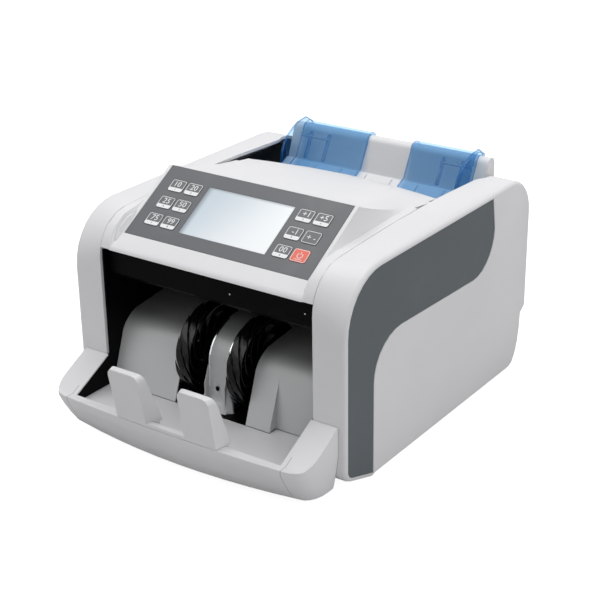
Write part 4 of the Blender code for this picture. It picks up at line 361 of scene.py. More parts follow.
# %% [markdown]
# ## Print on the control panel
#
# The keys are domes under a printed film. Each has a thin pale outline with round corners and a pale
# band along its lower edge. All twelve share one formula: folding the position back into one cell of
# the key grid gives the place within a key, and the distance to a rounded rectangle draws the outline.
# %% Make the panel finishes
PANEL_RISE, PANEL_LENGTH = 0.0393, 0.076
PANEL_TILT = math.asin(PANEL_RISE / PANEL_LENGTH)
PANEL_ALONG = Vector((0, math.cos(PANEL_TILT), math.sin(PANEL_TILT)))
PANEL_OUT = Vector((0, -math.sin(PANEL_TILT), math.cos(PANEL_TILT)))
KEY_COLUMN_MIDDLE, KEY_COLUMN_HALF_PITCH = 0.0644, 0.0084
KEY_ROW_START, KEY_ROW_PITCH = 0.018432, 0.0185
KEY_HALF_WIDTH, KEY_HALF_LENGTH, KEY_CORNER = 0.0073, 0.0061, 0.0018
OUTLINE_INSET, OUTLINE_INNER, OUTLINE_OUTER = 0.0002, (-0.00058, -0.00050), (-0.00012, -0.00004)
BAND_TOP, BAND_SOFT, BAND_EDGE = -0.0022, 0.00005, 0.0001
FILM_GREY = (0.112, 0.117, 0.127, 1)
FILM_PALE = tuple(channel * 1.05 for channel in FILM_GREY[:3]) + (1,)
FILM_RELIEF = 0.00001
KEY_RED = (0.84, 0.13, 0.075, 1)
PRINT_WHITE = grey(0.88, 0.01)
RUB_BESIDE_KEYS = (0.012, 0.024)
LIT_DIM, LIT_FULL = (0.52, 0.60, 0.67, 1), (0.86, 0.885, 0.90, 1)
RIM_GREY, RIM_SIDE, RIM_TOP = (0.24, 0.28, 0.32, 1), (-0.005, 0.075), (0.93, 1.02)
CELL_PITCH, CELL_LINE, CELL_GREY = 0.0016, 0.0001, (0.55, 0.62, 0.66, 1)
GLOW_STRENGTH = 0.52


def key_cell(shader):
    """Place within a key: x folded twice about the column pitch; y and z turned to the slope and wrapped."""
    x, y, z = shader.axes()
    across = abs(abs(abs(x) - KEY_COLUMN_MIDDLE) - KEY_COLUMN_HALF_PITCH)
    slope = y * PANEL_ALONG.y + z * PANEL_ALONG.z
    up = (slope - KEY_ROW_START + KEY_ROW_PITCH / 2) % KEY_ROW_PITCH - KEY_ROW_PITCH / 2
    return across, up


def key_outline(across, up):
    """Distance outside a rounded rectangle: the length of what lies past its core, less the corner."""
    side = (across - (KEY_HALF_WIDTH - OUTLINE_INSET - KEY_CORNER)).most(0.0)
    end = (abs(up) - (KEY_HALF_LENGTH - OUTLINE_INSET - KEY_CORNER)).most(0.0)
    return (side * side + end * end).power(0.5) - KEY_CORNER


def key_film(name, field, band):
    """Printed film: field colour, pale outline, and a pale lower band where the key has one."""
    shader = Shader(name)
    across, up = key_cell(shader)
    outside = key_outline(across, up)
    line = outside.step(*OUTLINE_INNER) * (1 - outside.step(*OUTLINE_OUTER))
    base = shader.mix(shader.noise(30, 2) * 0.12, field, grey(0.5))
    if band:
        below = 1 - up.step(BAND_TOP - BAND_SOFT, BAND_TOP + BAND_SOFT)
        inside = (1 - outside.step(-BAND_EDGE, 0.0)) * below
        line = line.most(inside)
    base = shader.mix(line, base, PRINT_WHITE)
    return shader.surface(base, 0.36 + shader.noise(200, 3) * 0.08, shader.noise(1100, 2), FILM_RELIEF,
                          SOFT_EDGE)


def overlay_film():
    """Sheet film with a very slight orange peel and a smoother, paler rub where fingers pass the keys."""
    shader = Shader("overlay_grey")
    x, _, _ = shader.axes()
    near_keys = 1 - abs(abs(x) - KEY_COLUMN_MIDDLE).step(*RUB_BESIDE_KEYS)
    rubbed = near_keys * shader.noise(40, 3).step(0.4, 0.8)
    base = shader.mix(shader.noise(14, 2).step(*CLOUD_RANGE), FILM_GREY, FILM_PALE)
    base = shader.mix(rubbed * 0.05, base, grey(0.5))
    return shader.surface(base, 0.40 - rubbed * 0.08, shader.noise(700, 2), FILM_RELIEF, SOFT_EDGE)


def display_glass():
    """Lit window: pale light, brighter to the lower right, with a darker rim where the bezel shades it."""
    low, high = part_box("display_lens")
    shader = Shader("display_glass")
    x, y, z = shader.axes()
    slope = y * PANEL_ALONG.y + z * PANEL_ALONG.z
    slope_low = low.y * PANEL_ALONG.y + low.z * PANEL_ALONG.z
    slope_high = high.y * PANEL_ALONG.y + high.z * PANEL_ALONG.z
    right = (x - low.x) / (high.x - low.x)
    up = (slope - slope_low) / (slope_high - slope_low)
    glow = (right * 0.75 + (1 - up) * 0.25).step(0.0, 0.95)
    inside = right.step(*RIM_SIDE) * (1 - up.step(*RIM_TOP))
    lit = shader.mix(inside, RIM_GREY, shader.mix(glow, LIT_DIM, LIT_FULL))
    columns = abs((x % CELL_PITCH) - CELL_PITCH / 2).step(0.0, CELL_LINE)
    rows = abs((slope % CELL_PITCH) - CELL_PITCH / 2).step(0.0, CELL_LINE)
    lit = shader.mix((1 - columns.least(rows)) * 0.10, lit, CELL_GREY)
    return shader.surface(shader.mix(0.5, lit, grey(0.08)), 0.16 + shader.noise(25, 4) * 0.08,
                          constants={"Emission Color": lit, "Emission Strength": GLOW_STRENGTH})


overlay_film()
key_film("key_white", FILM_GREY, True)
key_film("key_plain", FILM_GREY, False)
key_film("key_red", KEY_RED, False)
display_glass()
print("panel finishes ready; slope, degrees:", round(math.degrees(PANEL_TILT), 1))

# %% [markdown]
# ## Clear blue guides
#
# The note guides are dyed acrylic. Two sheets of it in line look darker than one, and the edges gather
# light and look darkest. A transparent layer tinted by the dye, mixed with a thin glossy skin that is
# strongest along the edges, gives that without slow refraction.
# %% Make the clear finish
DYE = (0.755, 0.885, 0.975, 1)
MILK_DEEP, MILK_PALE = (0.008, 0.15, 0.46, 1), (0.015, 0.20, 0.55, 1)
GUIDE_EDGE, GUIDE_ROUNDING, GUIDE_RELIEF = 0.0024, 0.0006, 0.00003
EDGE_GLOSS, STREAK_GLOSS, FACE_GLOSS = 0.75, 0.06, 0.09


def clear_blue():
    """A tinted see-through layer and a milky blue skin; the skin's share is largest along the edges."""
    shader = Shader("guide_blue")
    streak = shader.noise(1, 3, shader.stretched((30, 240, 240)))
    body = shader.mix(streak.step(0.3, 0.75), MILK_DEEP, MILK_PALE)
    clear = shader.node("ShaderNodeBsdfTransparent", None, {"Color": DYE})
    relief = shader.node("ShaderNodeBump", None, {"Height": streak, "Distance": GUIDE_RELIEF,
                                                  "Normal": shader.rounded_normal(GUIDE_ROUNDING)})
    skin = shader.node("ShaderNodeBsdfPrincipled", None, {
        "Base Color": body, "Roughness": 0.12, "Normal": relief})
    share = shader.edges(GUIDE_EDGE) * EDGE_GLOSS + streak * STREAK_GLOSS + FACE_GLOSS
    return shader.finish(shader.node("ShaderNodeMixShader", None, {0: share, 1: clear, 2: skin}))


clear_blue()
missing = sorted(set(slots.values()) - set(finishes))
print("slots with no finish:", missing)

# %% [markdown]
# ## Smooth copies of the CAD solids
#
# A CAD solid arrives as loose flat triangles. Its curves would show facets and its corners would be
# knife edges. Changing the solid isn't allowed, so each visible one gets a copy: equal corners are
# merged, flat neighbours are joined into one face, and gentle angles are shaded as curves. The small
# radius that every moulded edge has comes from the finish, whose normal turns smoothly over the edges.
# %% Copy and smooth
FLAT_ANGLE = math.radians(0.6)
CURVE_ANGLE = math.radians(34)


def link(name, mesh, body, slot, finish=None):
    """A new piece that rides on a body and takes its finish from one of the record's slots."""
    piece = bpy.data.objects.new(name, mesh)
    bpy.context.scene.collection.objects.link(piece)
    mesh.materials.clear()
    mesh.materials.append(finish or finishes[slot])
    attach(piece, body)
    return piece


def merged(node):
    """Corners and triangles of a CAD node, with equal corners made one: its table's unique rows."""
    mesh = frame["nodes"][node].data
    corners = np.empty(len(mesh.vertices) * 3)
    mesh.vertices.foreach_get("co", corners)
    corner_of = np.empty(len(mesh.loops), dtype=np.int64)
    mesh.loops.foreach_get("vertex_index", corner_of)
    points, place = np.unique(corners.reshape(-1, 3), axis=0, return_inverse=True)
    triangles = place.ravel()[corner_of].reshape(-1, 3)
    whole = (triangles != np.roll(triangles, 1, axis=1)).all(axis=1)
    return points, triangles[whole]


def rework(mesh, step):
    """One editing step on a mesh; step is given the mesh in its editable form."""
    work = bmesh.new()
    work.from_mesh(mesh)
    step(work)
    work.to_mesh(mesh)
    work.free()


def shaded_mesh(name, points, faces, step):
    """A mesh from points and faces, after one editing step, with gentle angles shaded smooth."""
    mesh = bpy.data.meshes.new(name)
    mesh.from_pydata(np.asarray(points).tolist(), [], faces)
    rework(mesh, step)
    mesh.shade_smooth()
    mesh.set_sharp_from_angle(angle=CURVE_ANGLE)
    return mesh


def smoothed(node, finish=None):
    """A copy of a CAD node with its flat faces whole and its curves shaded smooth."""
    points, triangles = merged(node)
    mesh = shaded_mesh(node + "_moulding", points, triangles.tolist(), lambda work: bmesh.ops.dissolve_limit(
        work, angle_limit=FLAT_ANGLE, verts=work.verts, edges=work.edges))
    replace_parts(link(node + "_moulding", mesh, bodies[node], slots[node], finish), node)


SMOOTH_NODES = (
    "left_side_cover", "right_side_cover", "centre_cover", "front_tray", "note_stop", "left_side_inlay",
    "right_side_inlay", "panel_overlay", "display_lens", "rear_cover", "upper_guide", "left_liner",
    "right_liner", "tie_rod", "stacker_backplate", "centre_nose", "stacker_shaft", "hopper_floor",
    "hopper_backrest", "left_note_guide", "right_note_guide", "feed_bed", "feed_shaft", "feed_roller",
    "pickup_shaft", "pickup_roller", "retard_roller", "drive_motor", "motor_pulley", "drive_belt",
    "feed_pulley", "stacker_pulley", "pickup_belt", "base_pan", "foot_front_left", "foot_front_right",
    "foot_rear_left", "foot_rear_right")
for node in SMOOTH_NODES:
    smoothed(node, finishes["tray_white"] if node == "front_tray" else None)
print("smooth copies:", len(SMOOTH_NODES))

# %% [markdown]
# ## Finishes on the solids that stay
#
# Boards, plates, keys and the inlet have flat faces and true corners already. They stay as they are and
# only take a better material. One key has an outline without the pale band, as in the photograph.
# %% Dress the CAD nodes
WHEELS = ("left_stacker_wheel", "right_stacker_wheel")
for node, piece in frame["nodes"].items():
    if node in SMOOTH_NODES + WHEELS:
        continue
    piece.data.materials.clear()
    piece.data.materials.append(finishes["key_plain" if node == "key_right_outer_2" else slots[node]])
print("dressed nodes:", len(frame["nodes"]) - len(SMOOTH_NODES + WHEELS))

# %% [markdown]
# ## The stacker wheels
#
# Each wheel catches a falling note between two flexible vanes and carries it round to the tray. A vane
# leaves the hub almost upright and then trails along the rim. It could be drawn by hand as a curve, but
# the spacing has to be exact, so it is a function: radius and angle both depend on the share t of the
# way along the vane, and a small rounded section is carried along that line.
# %% Build the wheels
WHEEL_AXIS = (-0.077, 0.072)
WHEEL_ROOT, WHEEL_RADIUS = 0.013, 0.039
WHEEL_CENTRE, WHEEL_WIDTH = 0.026, 0.014
VANE_COUNT, VANE_SWEEP, VANE_BEND, VANE_TWIST = 12, math.radians(98), 2.3, 0.9
VANE_ROOT_THICKNESS, VANE_TIP_THICKNESS = 0.0030, 0.0007
HUB_RADIUS, HUB_SHOULDER, SHAFT_RADIUS = 0.0150, 0.0008, 0.0032
SQUARENESS = 0.35


def grid_faces(rows, columns, close_rows=False, close_columns=False):
    """Four-cornered faces between the points of a grid that is stored row after row."""
    row = np.arange(rows if close_rows else rows - 1)[:, None]
    column = np.arange(columns if close_columns else columns - 1)[None, :]
    below, right = (row + 1) % rows, (column + 1) % columns
    near, far = row * columns, below * columns
    corners = np.broadcast_arrays(near + column, near + right, far + right, far + column)
    return np.stack(corners, -1).reshape(-1, 4)


def swept(sections):
    """A closed skin over equal rings of points: grid faces between rings and a cap on each end."""
    rings, count = sections.shape[:2]
    faces = grid_faces(rings, count, close_columns=True).tolist()
    caps = [list(range(count))[::-1], list(range((rings - 1) * count, rings * count))]
    return sections.reshape(-1, 3), faces + caps


def gather(parts):
    """Several point and face lists as one."""
    points, faces, start = [], [], 0
    for part_points, part_faces in parts:
        points.append(np.asarray(part_points))
        faces += [[start + corner for corner in face] for face in part_faces]
        start += len(part_points)
    return np.concatenate(points), faces


def new_piece(name, points, faces, body, slot, finish=None):
    """A new piece from points and faces, with its faces turned outwards."""
    mesh = shaded_mesh(name, points, faces,
                       lambda work: bmesh.ops.recalc_face_normals(work, faces=work.faces))
    return link(name, mesh, body, slot, finish)


def rounded_section(steps=7):
    """Unit rectangle from -1 to 1 with round corners: the cosine and sine raised to a small power."""
    angle = np.linspace(0, 2 * math.pi, steps * 4, endpoint=False)
    wave = np.stack([np.cos(angle), np.sin(angle)], -1)
    return np.sign(wave) * np.abs(wave) ** SQUARENESS


def vane(start, centre_x, steps=34):
    """One vane. Radius = rim less its span times (1 - t) to the bend; angle = start less the sweep times t.
    The section is carried along that line, narrows from root to tip, and turns a little across the width."""
    t = np.linspace(0, 1, steps)[:, None]
    section = rounded_section()[None, :, :]
    radius = WHEEL_RADIUS - (WHEEL_RADIUS - WHEEL_ROOT) * (1 - t) ** VANE_BEND
    angle = start - VANE_SWEEP * t
    line = np.stack([radius * np.cos(angle), radius * np.sin(angle)], -1)[:, 0]
    heading = np.gradient(line, axis=0)
    heading /= np.linalg.norm(heading, axis=1, keepdims=True)
    normal = np.stack([-heading[:, 1], heading[:, 0]], -1)
    thickness = VANE_ROOT_THICKNESS + (VANE_TIP_THICKNESS - VANE_ROOT_THICKNESS) * t
    off = section[..., 1] * thickness / 2
    y = radius * np.cos(angle) + normal[:, :1] * off
    z = radius * np.sin(angle) + normal[:, 1:] * off
    shrink = np.minimum(1, WHEEL_RADIUS / np.hypot(y, z))
    x = centre_x + section[..., 0] * WHEEL_WIDTH / 2 + np.zeros_like(y)
    turn = VANE_TWIST * section[..., 0] / 2
    turned_y = y * np.cos(turn) - z * np.sin(turn)
    turned_z = y * np.sin(turn) + z * np.cos(turn)
    return swept(np.stack([x, WHEEL_AXIS[0] + turned_y * shrink, WHEEL_AXIS[1] + turned_z * shrink], -1))


def turned(profile, axis, steps=64):
    """Profile points (x, radius) turned about a line along X through axis (y, z), closed into a ring."""
    profile = np.asarray(profile)
    angle = np.linspace(0, 2 * math.pi, steps, endpoint=False)[:, None]
    x = np.broadcast_to(profile[None, :, 0], (steps, len(profile)))
    y = axis[0] + profile[None, :, 1] * np.cos(angle)
    z = axis[1] + profile[None, :, 1] * np.sin(angle)
    return np.stack([x, y, z], -1).reshape(-1, 3), grid_faces(steps, len(profile), True, True).tolist()


def hub(centre_x):
    """The wheel's hub: a ring with rounded shoulders that the vanes grow out of."""
    half, flat, shoulder = WHEEL_WIDTH / 2, WHEEL_WIDTH / 2 - HUB_SHOULDER, HUB_RADIUS - HUB_SHOULDER
    profile = [(-half, SHAFT_RADIUS), (half, SHAFT_RADIUS), (half, shoulder), (flat, HUB_RADIUS),
               (-flat, HUB_RADIUS), (-half, shoulder)]
    return turned([(centre_x + x, radius) for x, radius in profile], WHEEL_AXIS)


for side, sign in (("left", -1), ("right", 1)):
    centre_x = sign * WHEEL_CENTRE
    parts = [hub(centre_x)] + [vane(2 * math.pi / VANE_COUNT * k, centre_x) for k in range(VANE_COUNT)]
    wheel = new_piece(side + "_vaned_wheel", *gather(parts), "stacker_group", "wheel_black")
    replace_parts(wheel, side + "_stacker_wheel")
print("vanes per wheel:", VANE_COUNT)

# %% [markdown]
# ## Marks on the keys
#
# The real keys carry print. Here they carry only plain numbers and signs. The built-in font gives
# clean digits: a text becomes a mesh, is centred, and its flat points are laid on the panel's slope.
# Symbols that a font has no plain glyph for are worked out as rings and bars.
# %% Print the marks
MARK_THICKNESS = 0.00004
MARK_BOLDNESS = 0.00001
KEY_FACE_LIFT = 0.0004
LARGE_SIZE, LARGE_RISE, SMALL_SIZE, SMALL_DROP = 0.0075, 0.0018, 0.0025, 0.0039
POWER_RING = (0.0024, 0.0006, 130, 410)
POWER_STEM, POWER_LINE = (0.0006, 0.0026, (0, 0.0022)), (0.0070, 0.0005, (0, -0.0038))
PRINT = {"grain": 2500, "depth": 0.000003, "wear": 0.0, "radius": 0.0001}
KEY_ROWS = {1: (-0.086866, 0.179428), 2: (-0.071032, 0.188995), 3: (-0.055197, 0.198561)}
MARKS = {
    "left_outer_3": ("10", "1"), "left_inner_3": ("20", "2"), "left_outer_2": ("25", "4"),
    "left_inner_2": ("50", "5"), "left_outer_1": ("75", "7"), "left_inner_1": ("99", "8"),
    "right_inner_3": ("+1", "3"), "right_outer_3": ("+5", "6"), "right_inner_2": ("-1", "9"),
    "right_outer_2": ("+ -", ""), "right_inner_1": ("00", "0"), "right_outer_1": ("", ""),
}


def text_points(words, size):
    """Corners and faces of a line of text, centred on zero in x and y and size metres tall."""
    curve = bpy.data.curves.new("mark", "FONT")
    curve.body = words
    curve.size = size
    curve.extrude = MARK_THICKNESS / 2
    curve.offset = MARK_BOLDNESS
    curve.resolution_u = 3
    made = bpy.data.objects.new("mark", curve)
    bpy.context.scene.collection.objects.link(made)
    graph = bpy.context.evaluated_depsgraph_get()
    mesh = made.evaluated_get(graph).to_mesh()
    points = np.empty(len(mesh.vertices) * 3)
    mesh.vertices.foreach_get("co", points)
    faces = [list(face.vertices) for face in mesh.polygons]
    bpy.data.objects.remove(made)
    bpy.data.curves.remove(curve)
    points = points.reshape(-1, 3)
    middle = (points.min(0) + points.max(0)) / 2
    return points - middle, faces


def on_key(points, centre):
    """Flat points moved onto the panel: x across, y up the slope and z out of it, from the key's middle."""
    out = np.outer(points[:, 2] + KEY_FACE_LIFT + MARK_THICKNESS, PANEL_OUT)
    return np.asarray(centre) + np.outer(points[:, 0], (1, 0, 0)) + np.outer(points[:, 1], PANEL_ALONG) + out


def arc_band(radius, width, start, end, steps=28):
    """Part of a flat ring, with thickness: a rectangle carried round an arc, capped at its ends."""
    angle = np.linspace(math.radians(start), math.radians(end), steps)[:, None]
    section = np.array([(-1, -1), (1, -1), (1, 1), (-1, 1)]) / 2
    reach = radius + section[None, :, 0] * width
    height = section[None, :, 1] * MARK_THICKNESS + np.zeros_like(angle)
    return swept(np.stack([reach * np.cos(angle), reach * np.sin(angle), height], -1))


def bar(width, height, centre=(0, 0)):
    """A flat bar with thickness."""
    x, y, z = width / 2, height / 2, MARK_THICKNESS / 2
    corners = [(-x, -y), (x, -y), (x, y), (-x, y)]
    rings = np.array([[(centre[0] + a, centre[1] + b, c) for a, b in corners] for c in (-z, z)])
    return swept(rings)


printed_pale = moulded("print_pale", grey(0.86, 0.01), 0.4, **PRINT)
printed_dark = moulded("print_dark", grey(0.10), 0.4, **PRINT)
for key, (large, small) in MARKS.items():
    side, column, row = key.split("_")
    outward, apart = (1 if side == "right" else -1), (1 if column == "outer" else -1)
    centre = (outward * (KEY_COLUMN_MIDDLE + apart * KEY_COLUMN_HALF_PITCH), *KEY_ROWS[int(row)])
    pale = []
    if large:
        points, faces = text_points(large, LARGE_SIZE)
        pale.append((points + (0, LARGE_RISE if small else 0.0, 0), faces))
    else:
        pale += [arc_band(*POWER_RING), bar(*POWER_STEM), bar(*POWER_LINE)]
    points, faces = gather(pale)
    body = "key_" + key + "_body"
    new_piece("mark_" + key, on_key(points, centre), faces, body, "key_white", printed_pale)
    if small:
        points, faces = text_points(small, SMALL_SIZE)
        points = on_key(points + (0, -SMALL_DROP, 0), centre)
        new_piece("small_mark_" + key, points, faces, body, "key_white", printed_dark)
print("keys with marks:", len(MARKS))

ROCKER_X, ROCKER_WAIST = 0.0455, (0.17442, 0.09455)
ROCKER_BAR, ROCKER_RING = (0.0007, 0.0040), (0.0019, 0.0006, 0, 360, 48)
ROCKER_TIPS = {"bar": (0.17531, 0.10360), "ring": (0.17807, 0.08622)}


def on_rocker(points, tip):
    """Flat points laid on one half of the rocker's face: y runs up the slope, z stands out of it."""
    waist, tip = np.array(ROCKER_WAIST), np.array(tip)
    slope = (tip - waist) / np.linalg.norm(tip - waist) * np.sign(tip[1] - waist[1])
    middle = (waist + tip) / 2
    out = np.outer(points[:, 2] + MARK_THICKNESS, (slope[1], -slope[0]))
    return np.column_stack([ROCKER_X - points[:, 0], middle + np.outer(points[:, 1], slope) + out])


for name, (points, faces) in (("bar", bar(*ROCKER_BAR)), ("ring", arc_band(*ROCKER_RING))):
    new_piece("rocker_" + name, on_rocker(points, ROCKER_TIPS[name]), faces, bodies["power_rocker"],
              slots["power_rocker"], printed_pale)
print("rocker marks:", len(ROCKER_TIPS))

# %% [markdown]
# ## Screws
#
# The rear cover and the base are held by cross-head screws. One head is a height over a polar grid: a
# shallow dome, lowered where the point lies in one of two crossing slots. That is lighter than cutting
# a cross out of a solid, and the same grid is copied to every place.
# %% Build the screws
SCREW_RADIUS, SCREW_RISE, SCREW_SINK = 0.0026, 0.0011, 0.0004
DOME_POWER, RING_CROWDING = 2.6, 0.8
SLOT_HALF, SLOT_REACH, SLOT_DEPTH = 0.00042, 0.0016, 0.0008
SLOT_SIDE_FADE, SLOT_END_FADE = 0.0002, 0.0003
MERGE_REACH = 1e-6
REAR_SCREW_X, REAR_SCREW_Z = 0.098, (0.062, 0.138)
BASE_SCREW_X, BASE_SCREW_Y = 0.085, (-0.03, 0.05, 0.13)


def in_slot(across, lengthways):
    """1 inside one slot of the cross, falling evenly to 0 over its walls."""
    side = np.clip((SLOT_HALF - np.abs(across)) / SLOT_SIDE_FADE + 1, 0, 1)
    return side * np.clip((SLOT_REACH - np.abs(lengthways)) / SLOT_END_FADE + 1, 0, 1)


def screw_head(rings=14, spokes=48):
    """Height = rise times root of (1 - (r / R) to the power), less the slot's depth inside the cross."""
    radius = np.linspace(0, 1, rings)[:, None] ** RING_CROWDING * SCREW_RADIUS
    angle = np.linspace(0, 2 * math.pi, spokes, endpoint=False)[None, :]
    across, up = radius * np.cos(angle), radius * np.sin(angle)
    height = SCREW_RISE * np.sqrt(1 - (radius / SCREW_RADIUS) ** DOME_POWER) + np.zeros_like(across)
    height -= SLOT_DEPTH * np.maximum(in_slot(across, up), in_slot(up, across))
    points = np.stack([across, up, height], -1).reshape(-1, 3)
    base = np.array([(0, 0, -SCREW_SINK)])
    skirt = np.stack([across[-1], up[-1], np.full(spokes, -SCREW_SINK)], -1)
    faces = grid_faces(rings, spokes, close_columns=True).tolist()
    start = rings * spokes
    last = (rings - 1) * spokes
    faces += [[last + i, last + (i + 1) % spokes, start + (i + 1) % spokes, start + i] for i in range(spokes)]
    faces += [[start + (i + 1) % spokes, start + spokes, start + i] for i in range(spokes)]
    return np.concatenate([points, skirt, base]), faces


def screws(name, places, right, up, out):
    """The same head at several places, on a face whose right, up and outward directions are given."""
    head, faces = screw_head()
    turn = np.array([right, up, out])
    parts = [(head @ turn + np.asarray(place), faces) for place in places]
    piece = new_piece(name, *gather(parts), "counter", "shaft_steel", finishes["screw_steel"])
    rework(piece.data, lambda work: bmesh.ops.remove_doubles(work, verts=work.verts, dist=MERGE_REACH))


rear_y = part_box("rear_cover")[1].y
screws("rear_screws", [(x, rear_y, z) for x in (-REAR_SCREW_X, REAR_SCREW_X) for z in REAR_SCREW_Z],
       (-1, 0, 0), (0, 0, 1), (0, 1, 0))
base_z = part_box("base_pan")[0].z
screws("base_screws", [(x, y, base_z) for x in (-BASE_SCREW_X, BASE_SCREW_X) for y in BASE_SCREW_Y],
       (1, 0, 0), (0, -1, 0), (0, 0, -1))
print("rear cover face, mm:", round(rear_y * 1000, 1))

# %% [markdown]
# ## Small parts in the note path
#
# The nose between the wheels has a bright metal strip along each shoulder, which the notes slide on,
# and a small oval window with a lamp behind it. Two more sensor windows sit in the black guide above.
# %% Build strips and sensor windows
NOSE_FOOT_Y, NOSE_FACE_Y, NOSE_TURN_Z = -0.1040, -0.1010, 0.0720
NOSE_CREST_Y, NOSE_CREST_Z, NOSE_HALF = -0.0610, 0.1025, 0.0105
STRIP_HALF, STRIP_RISE, STRIP_SINK, STRIP_INSET = 0.0012, 0.0007, 0.0010, 0.0010
STRIP_FOOT_Z, STRIP_FOOT_INSET, STRIP_END = 0.052, 0.0016, 0.8
LENS_START, LENS_BULGE, LENS_BACK = 0.04, 0.5, 0.0003
WINDOW_RADIUS, GUIDE_WINDOWS = 0.0007, ((0.0216, 0.1438), (0.0933, 0.1448))


def nose_line(start, end, steps=40):
    """Part of the quarter ellipse from the nose's upright face back to its crest, as (y, z), by share."""
    angle = np.linspace(math.radians(180 - 90 * start), math.radians(180 - 90 * end), steps)
    y = NOSE_CREST_Y + (NOSE_CREST_Y - NOSE_FACE_Y) * np.cos(angle)
    z = NOSE_TURN_Z + (NOSE_CREST_Z - NOSE_TURN_Z) * np.sin(angle)
    return np.stack([y, z], -1)


def ribbon(line, low_x, high_x, rise, sink):
    """A strip along a line in y and z: sink below it, and above it half an ellipse that is rise high."""
    heading = np.gradient(line, axis=0)
    heading /= np.linalg.norm(heading, axis=1, keepdims=True)
    out = np.stack([-heading[:, 1], heading[:, 0]], -1)
    middle, half = (low_x + high_x) / 2, (high_x - low_x) / 2
    bow = np.linspace(0, math.pi, 9)
    corners = [(low_x, -sink), (high_x, -sink)]
    corners += [(middle + half * math.cos(a), rise * math.sin(a)) for a in bow]
    rings = [[(x, *(point + normal * off)) for x, off in corners] for point, normal in zip(line, out)]
    return swept(np.array(rings))


lower = np.linspace((NOSE_FOOT_Y + STRIP_FOOT_INSET, STRIP_FOOT_Z), (NOSE_FACE_Y, NOSE_TURN_Z), 12)
line = np.concatenate([lower[:-1], nose_line(0, STRIP_END)])
strips = [ribbon(line, x - STRIP_HALF, x + STRIP_HALF, STRIP_RISE, STRIP_SINK)
          for x in (-NOSE_HALF + STRIP_INSET, NOSE_HALF - STRIP_INSET)]
new_piece("nose_strips", *gather(strips), "counter", "shaft_steel", finishes["bright_strip"])


def oval_window(centre, right, up, out, half_width, half_height, rings=8, spokes=40):
    """A low oval lens: height falls with the square of the distance, closed by a flat back."""
    share = np.linspace(LENS_START, 1, rings)[:, None]
    angle = np.linspace(0, 2 * math.pi, spokes, endpoint=False)[None, :]
    height = half_width * LENS_BULGE * (1 - share ** 2) + np.zeros_like(angle)
    front = np.stack([share * half_width * np.cos(angle), share * half_height * np.sin(angle), height], -1)
    back = front[::-1] * (1, 1, 0) + (0, 0, -LENS_BACK)
    points, faces = swept(np.concatenate([front, back]))
    return points @ np.array([right, up, out]) + np.asarray(centre), faces


guide_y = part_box("upper_guide")[0].y
specks = [oval_window((x, guide_y, z), (1, 0, 0), (0, 0, 1), (0, -1, 0), WINDOW_RADIUS, WINDOW_RADIUS)
          for x, z in GUIDE_WINDOWS]
new_piece("guide_windows", *gather(specks), "counter", "display_glass", printed_pale)
print("nose strips, points:", len(line))

# %% [markdown]
# ## Wells of the wheels and feet of the nose
#
# Each wheel turns in a black well, so that a note's edge can't catch on the steel behind it. The well's
# walls follow the grey sheet's front line. Its floor is a black plate that paints the shade of the notch
# under the wheel. At the foot of the nose two small grey flares widen towards the wells. All of them are
# strips carried along a line in the side view.
# %% Build the wells and flares
TRAY_TOP_Z = 0.0345
SHEET_LINE = np.array([(-0.1142, TRAY_TOP_Z), (-0.0985, 0.0773), (-0.0955, 0.0838), (-0.0905, 0.0883),
                       (-0.0820, 0.0903), (-0.0600, 0.0928)])
WELL_WALLS = (0.0166, 0.0352)
WELL_WALL, WELL_DEPTH = 0.0010, 0.0110
WELL_INNER_REACH, WELL_CORNER = 0.004, 0.0045
WELL_FRONT_Y, WELL_REAR_Y, SHADE_PLATE_Z = -0.1146, -0.0850, (0.0330, 0.0343)
FLARE_TOP_WIDTH, FLARE_SPREAD, FLARE_POWER, FLARE_OVERLAP = 0.0004, 0.0068, 1.4, 0.0006
FLARE_HEIGHT, FLARE_FOOT_Y, FLARE_LEAN = 0.031, -0.1062, 0.115
FLARE_TOE, FLARE_BOW, FLARE_THICKNESS = 0.0025, 0.0030, 0.0016
RAMP_HEIGHT, RAMP_TOP_Y, RAMP_REAR_Y = 0.0095, -0.1035, -0.1005
RAMP_REACH, RAMP_POWER, RAMP_SPREAD, RAMP_BOW = 0.0085, 1.6, 0.25, 0.0015
SENSOR_PLACE, SENSOR_SLOPE, SENSOR_SIZE = (0, -0.1037, 0.0520), (0.09, 0.996), (0.0017, 0.0022)


def along(line, steps):
    """Points at equal shares of the length of a line with corners."""
    reach = np.concatenate([[0], np.cumsum(np.linalg.norm(np.diff(line, axis=0), axis=1))])
    share = np.linspace(0, reach[-1], steps)
    return np.stack([np.interp(share, reach, line[:, i]) for i in range(line.shape[1])], -1)


def flare(sign, steps=14, across=9):
    """A foot that widens downwards: width = spread times (1 - u) to the power, u its share of height."""
    u = np.linspace(0, 1, steps)[:, None]
    v = np.linspace(0, 1, across)[None, :]
    width = FLARE_TOP_WIDTH + FLARE_SPREAD * (1 - u) ** FLARE_POWER
    x = sign * (NOSE_HALF - FLARE_OVERLAP + width * v)
    z = np.full_like(x, TRAY_TOP_Z) + FLARE_HEIGHT * u
    y = FLARE_FOOT_Y + (z - TRAY_TOP_Z) * FLARE_LEAN - FLARE_TOE * (1 - u) ** 2 + FLARE_BOW * v ** 2
    front = np.stack([x, y, z], -1)
    back = front + (0, FLARE_THICKNESS, 0)
    return swept(np.concatenate([front, back[:, ::-1]], axis=1))


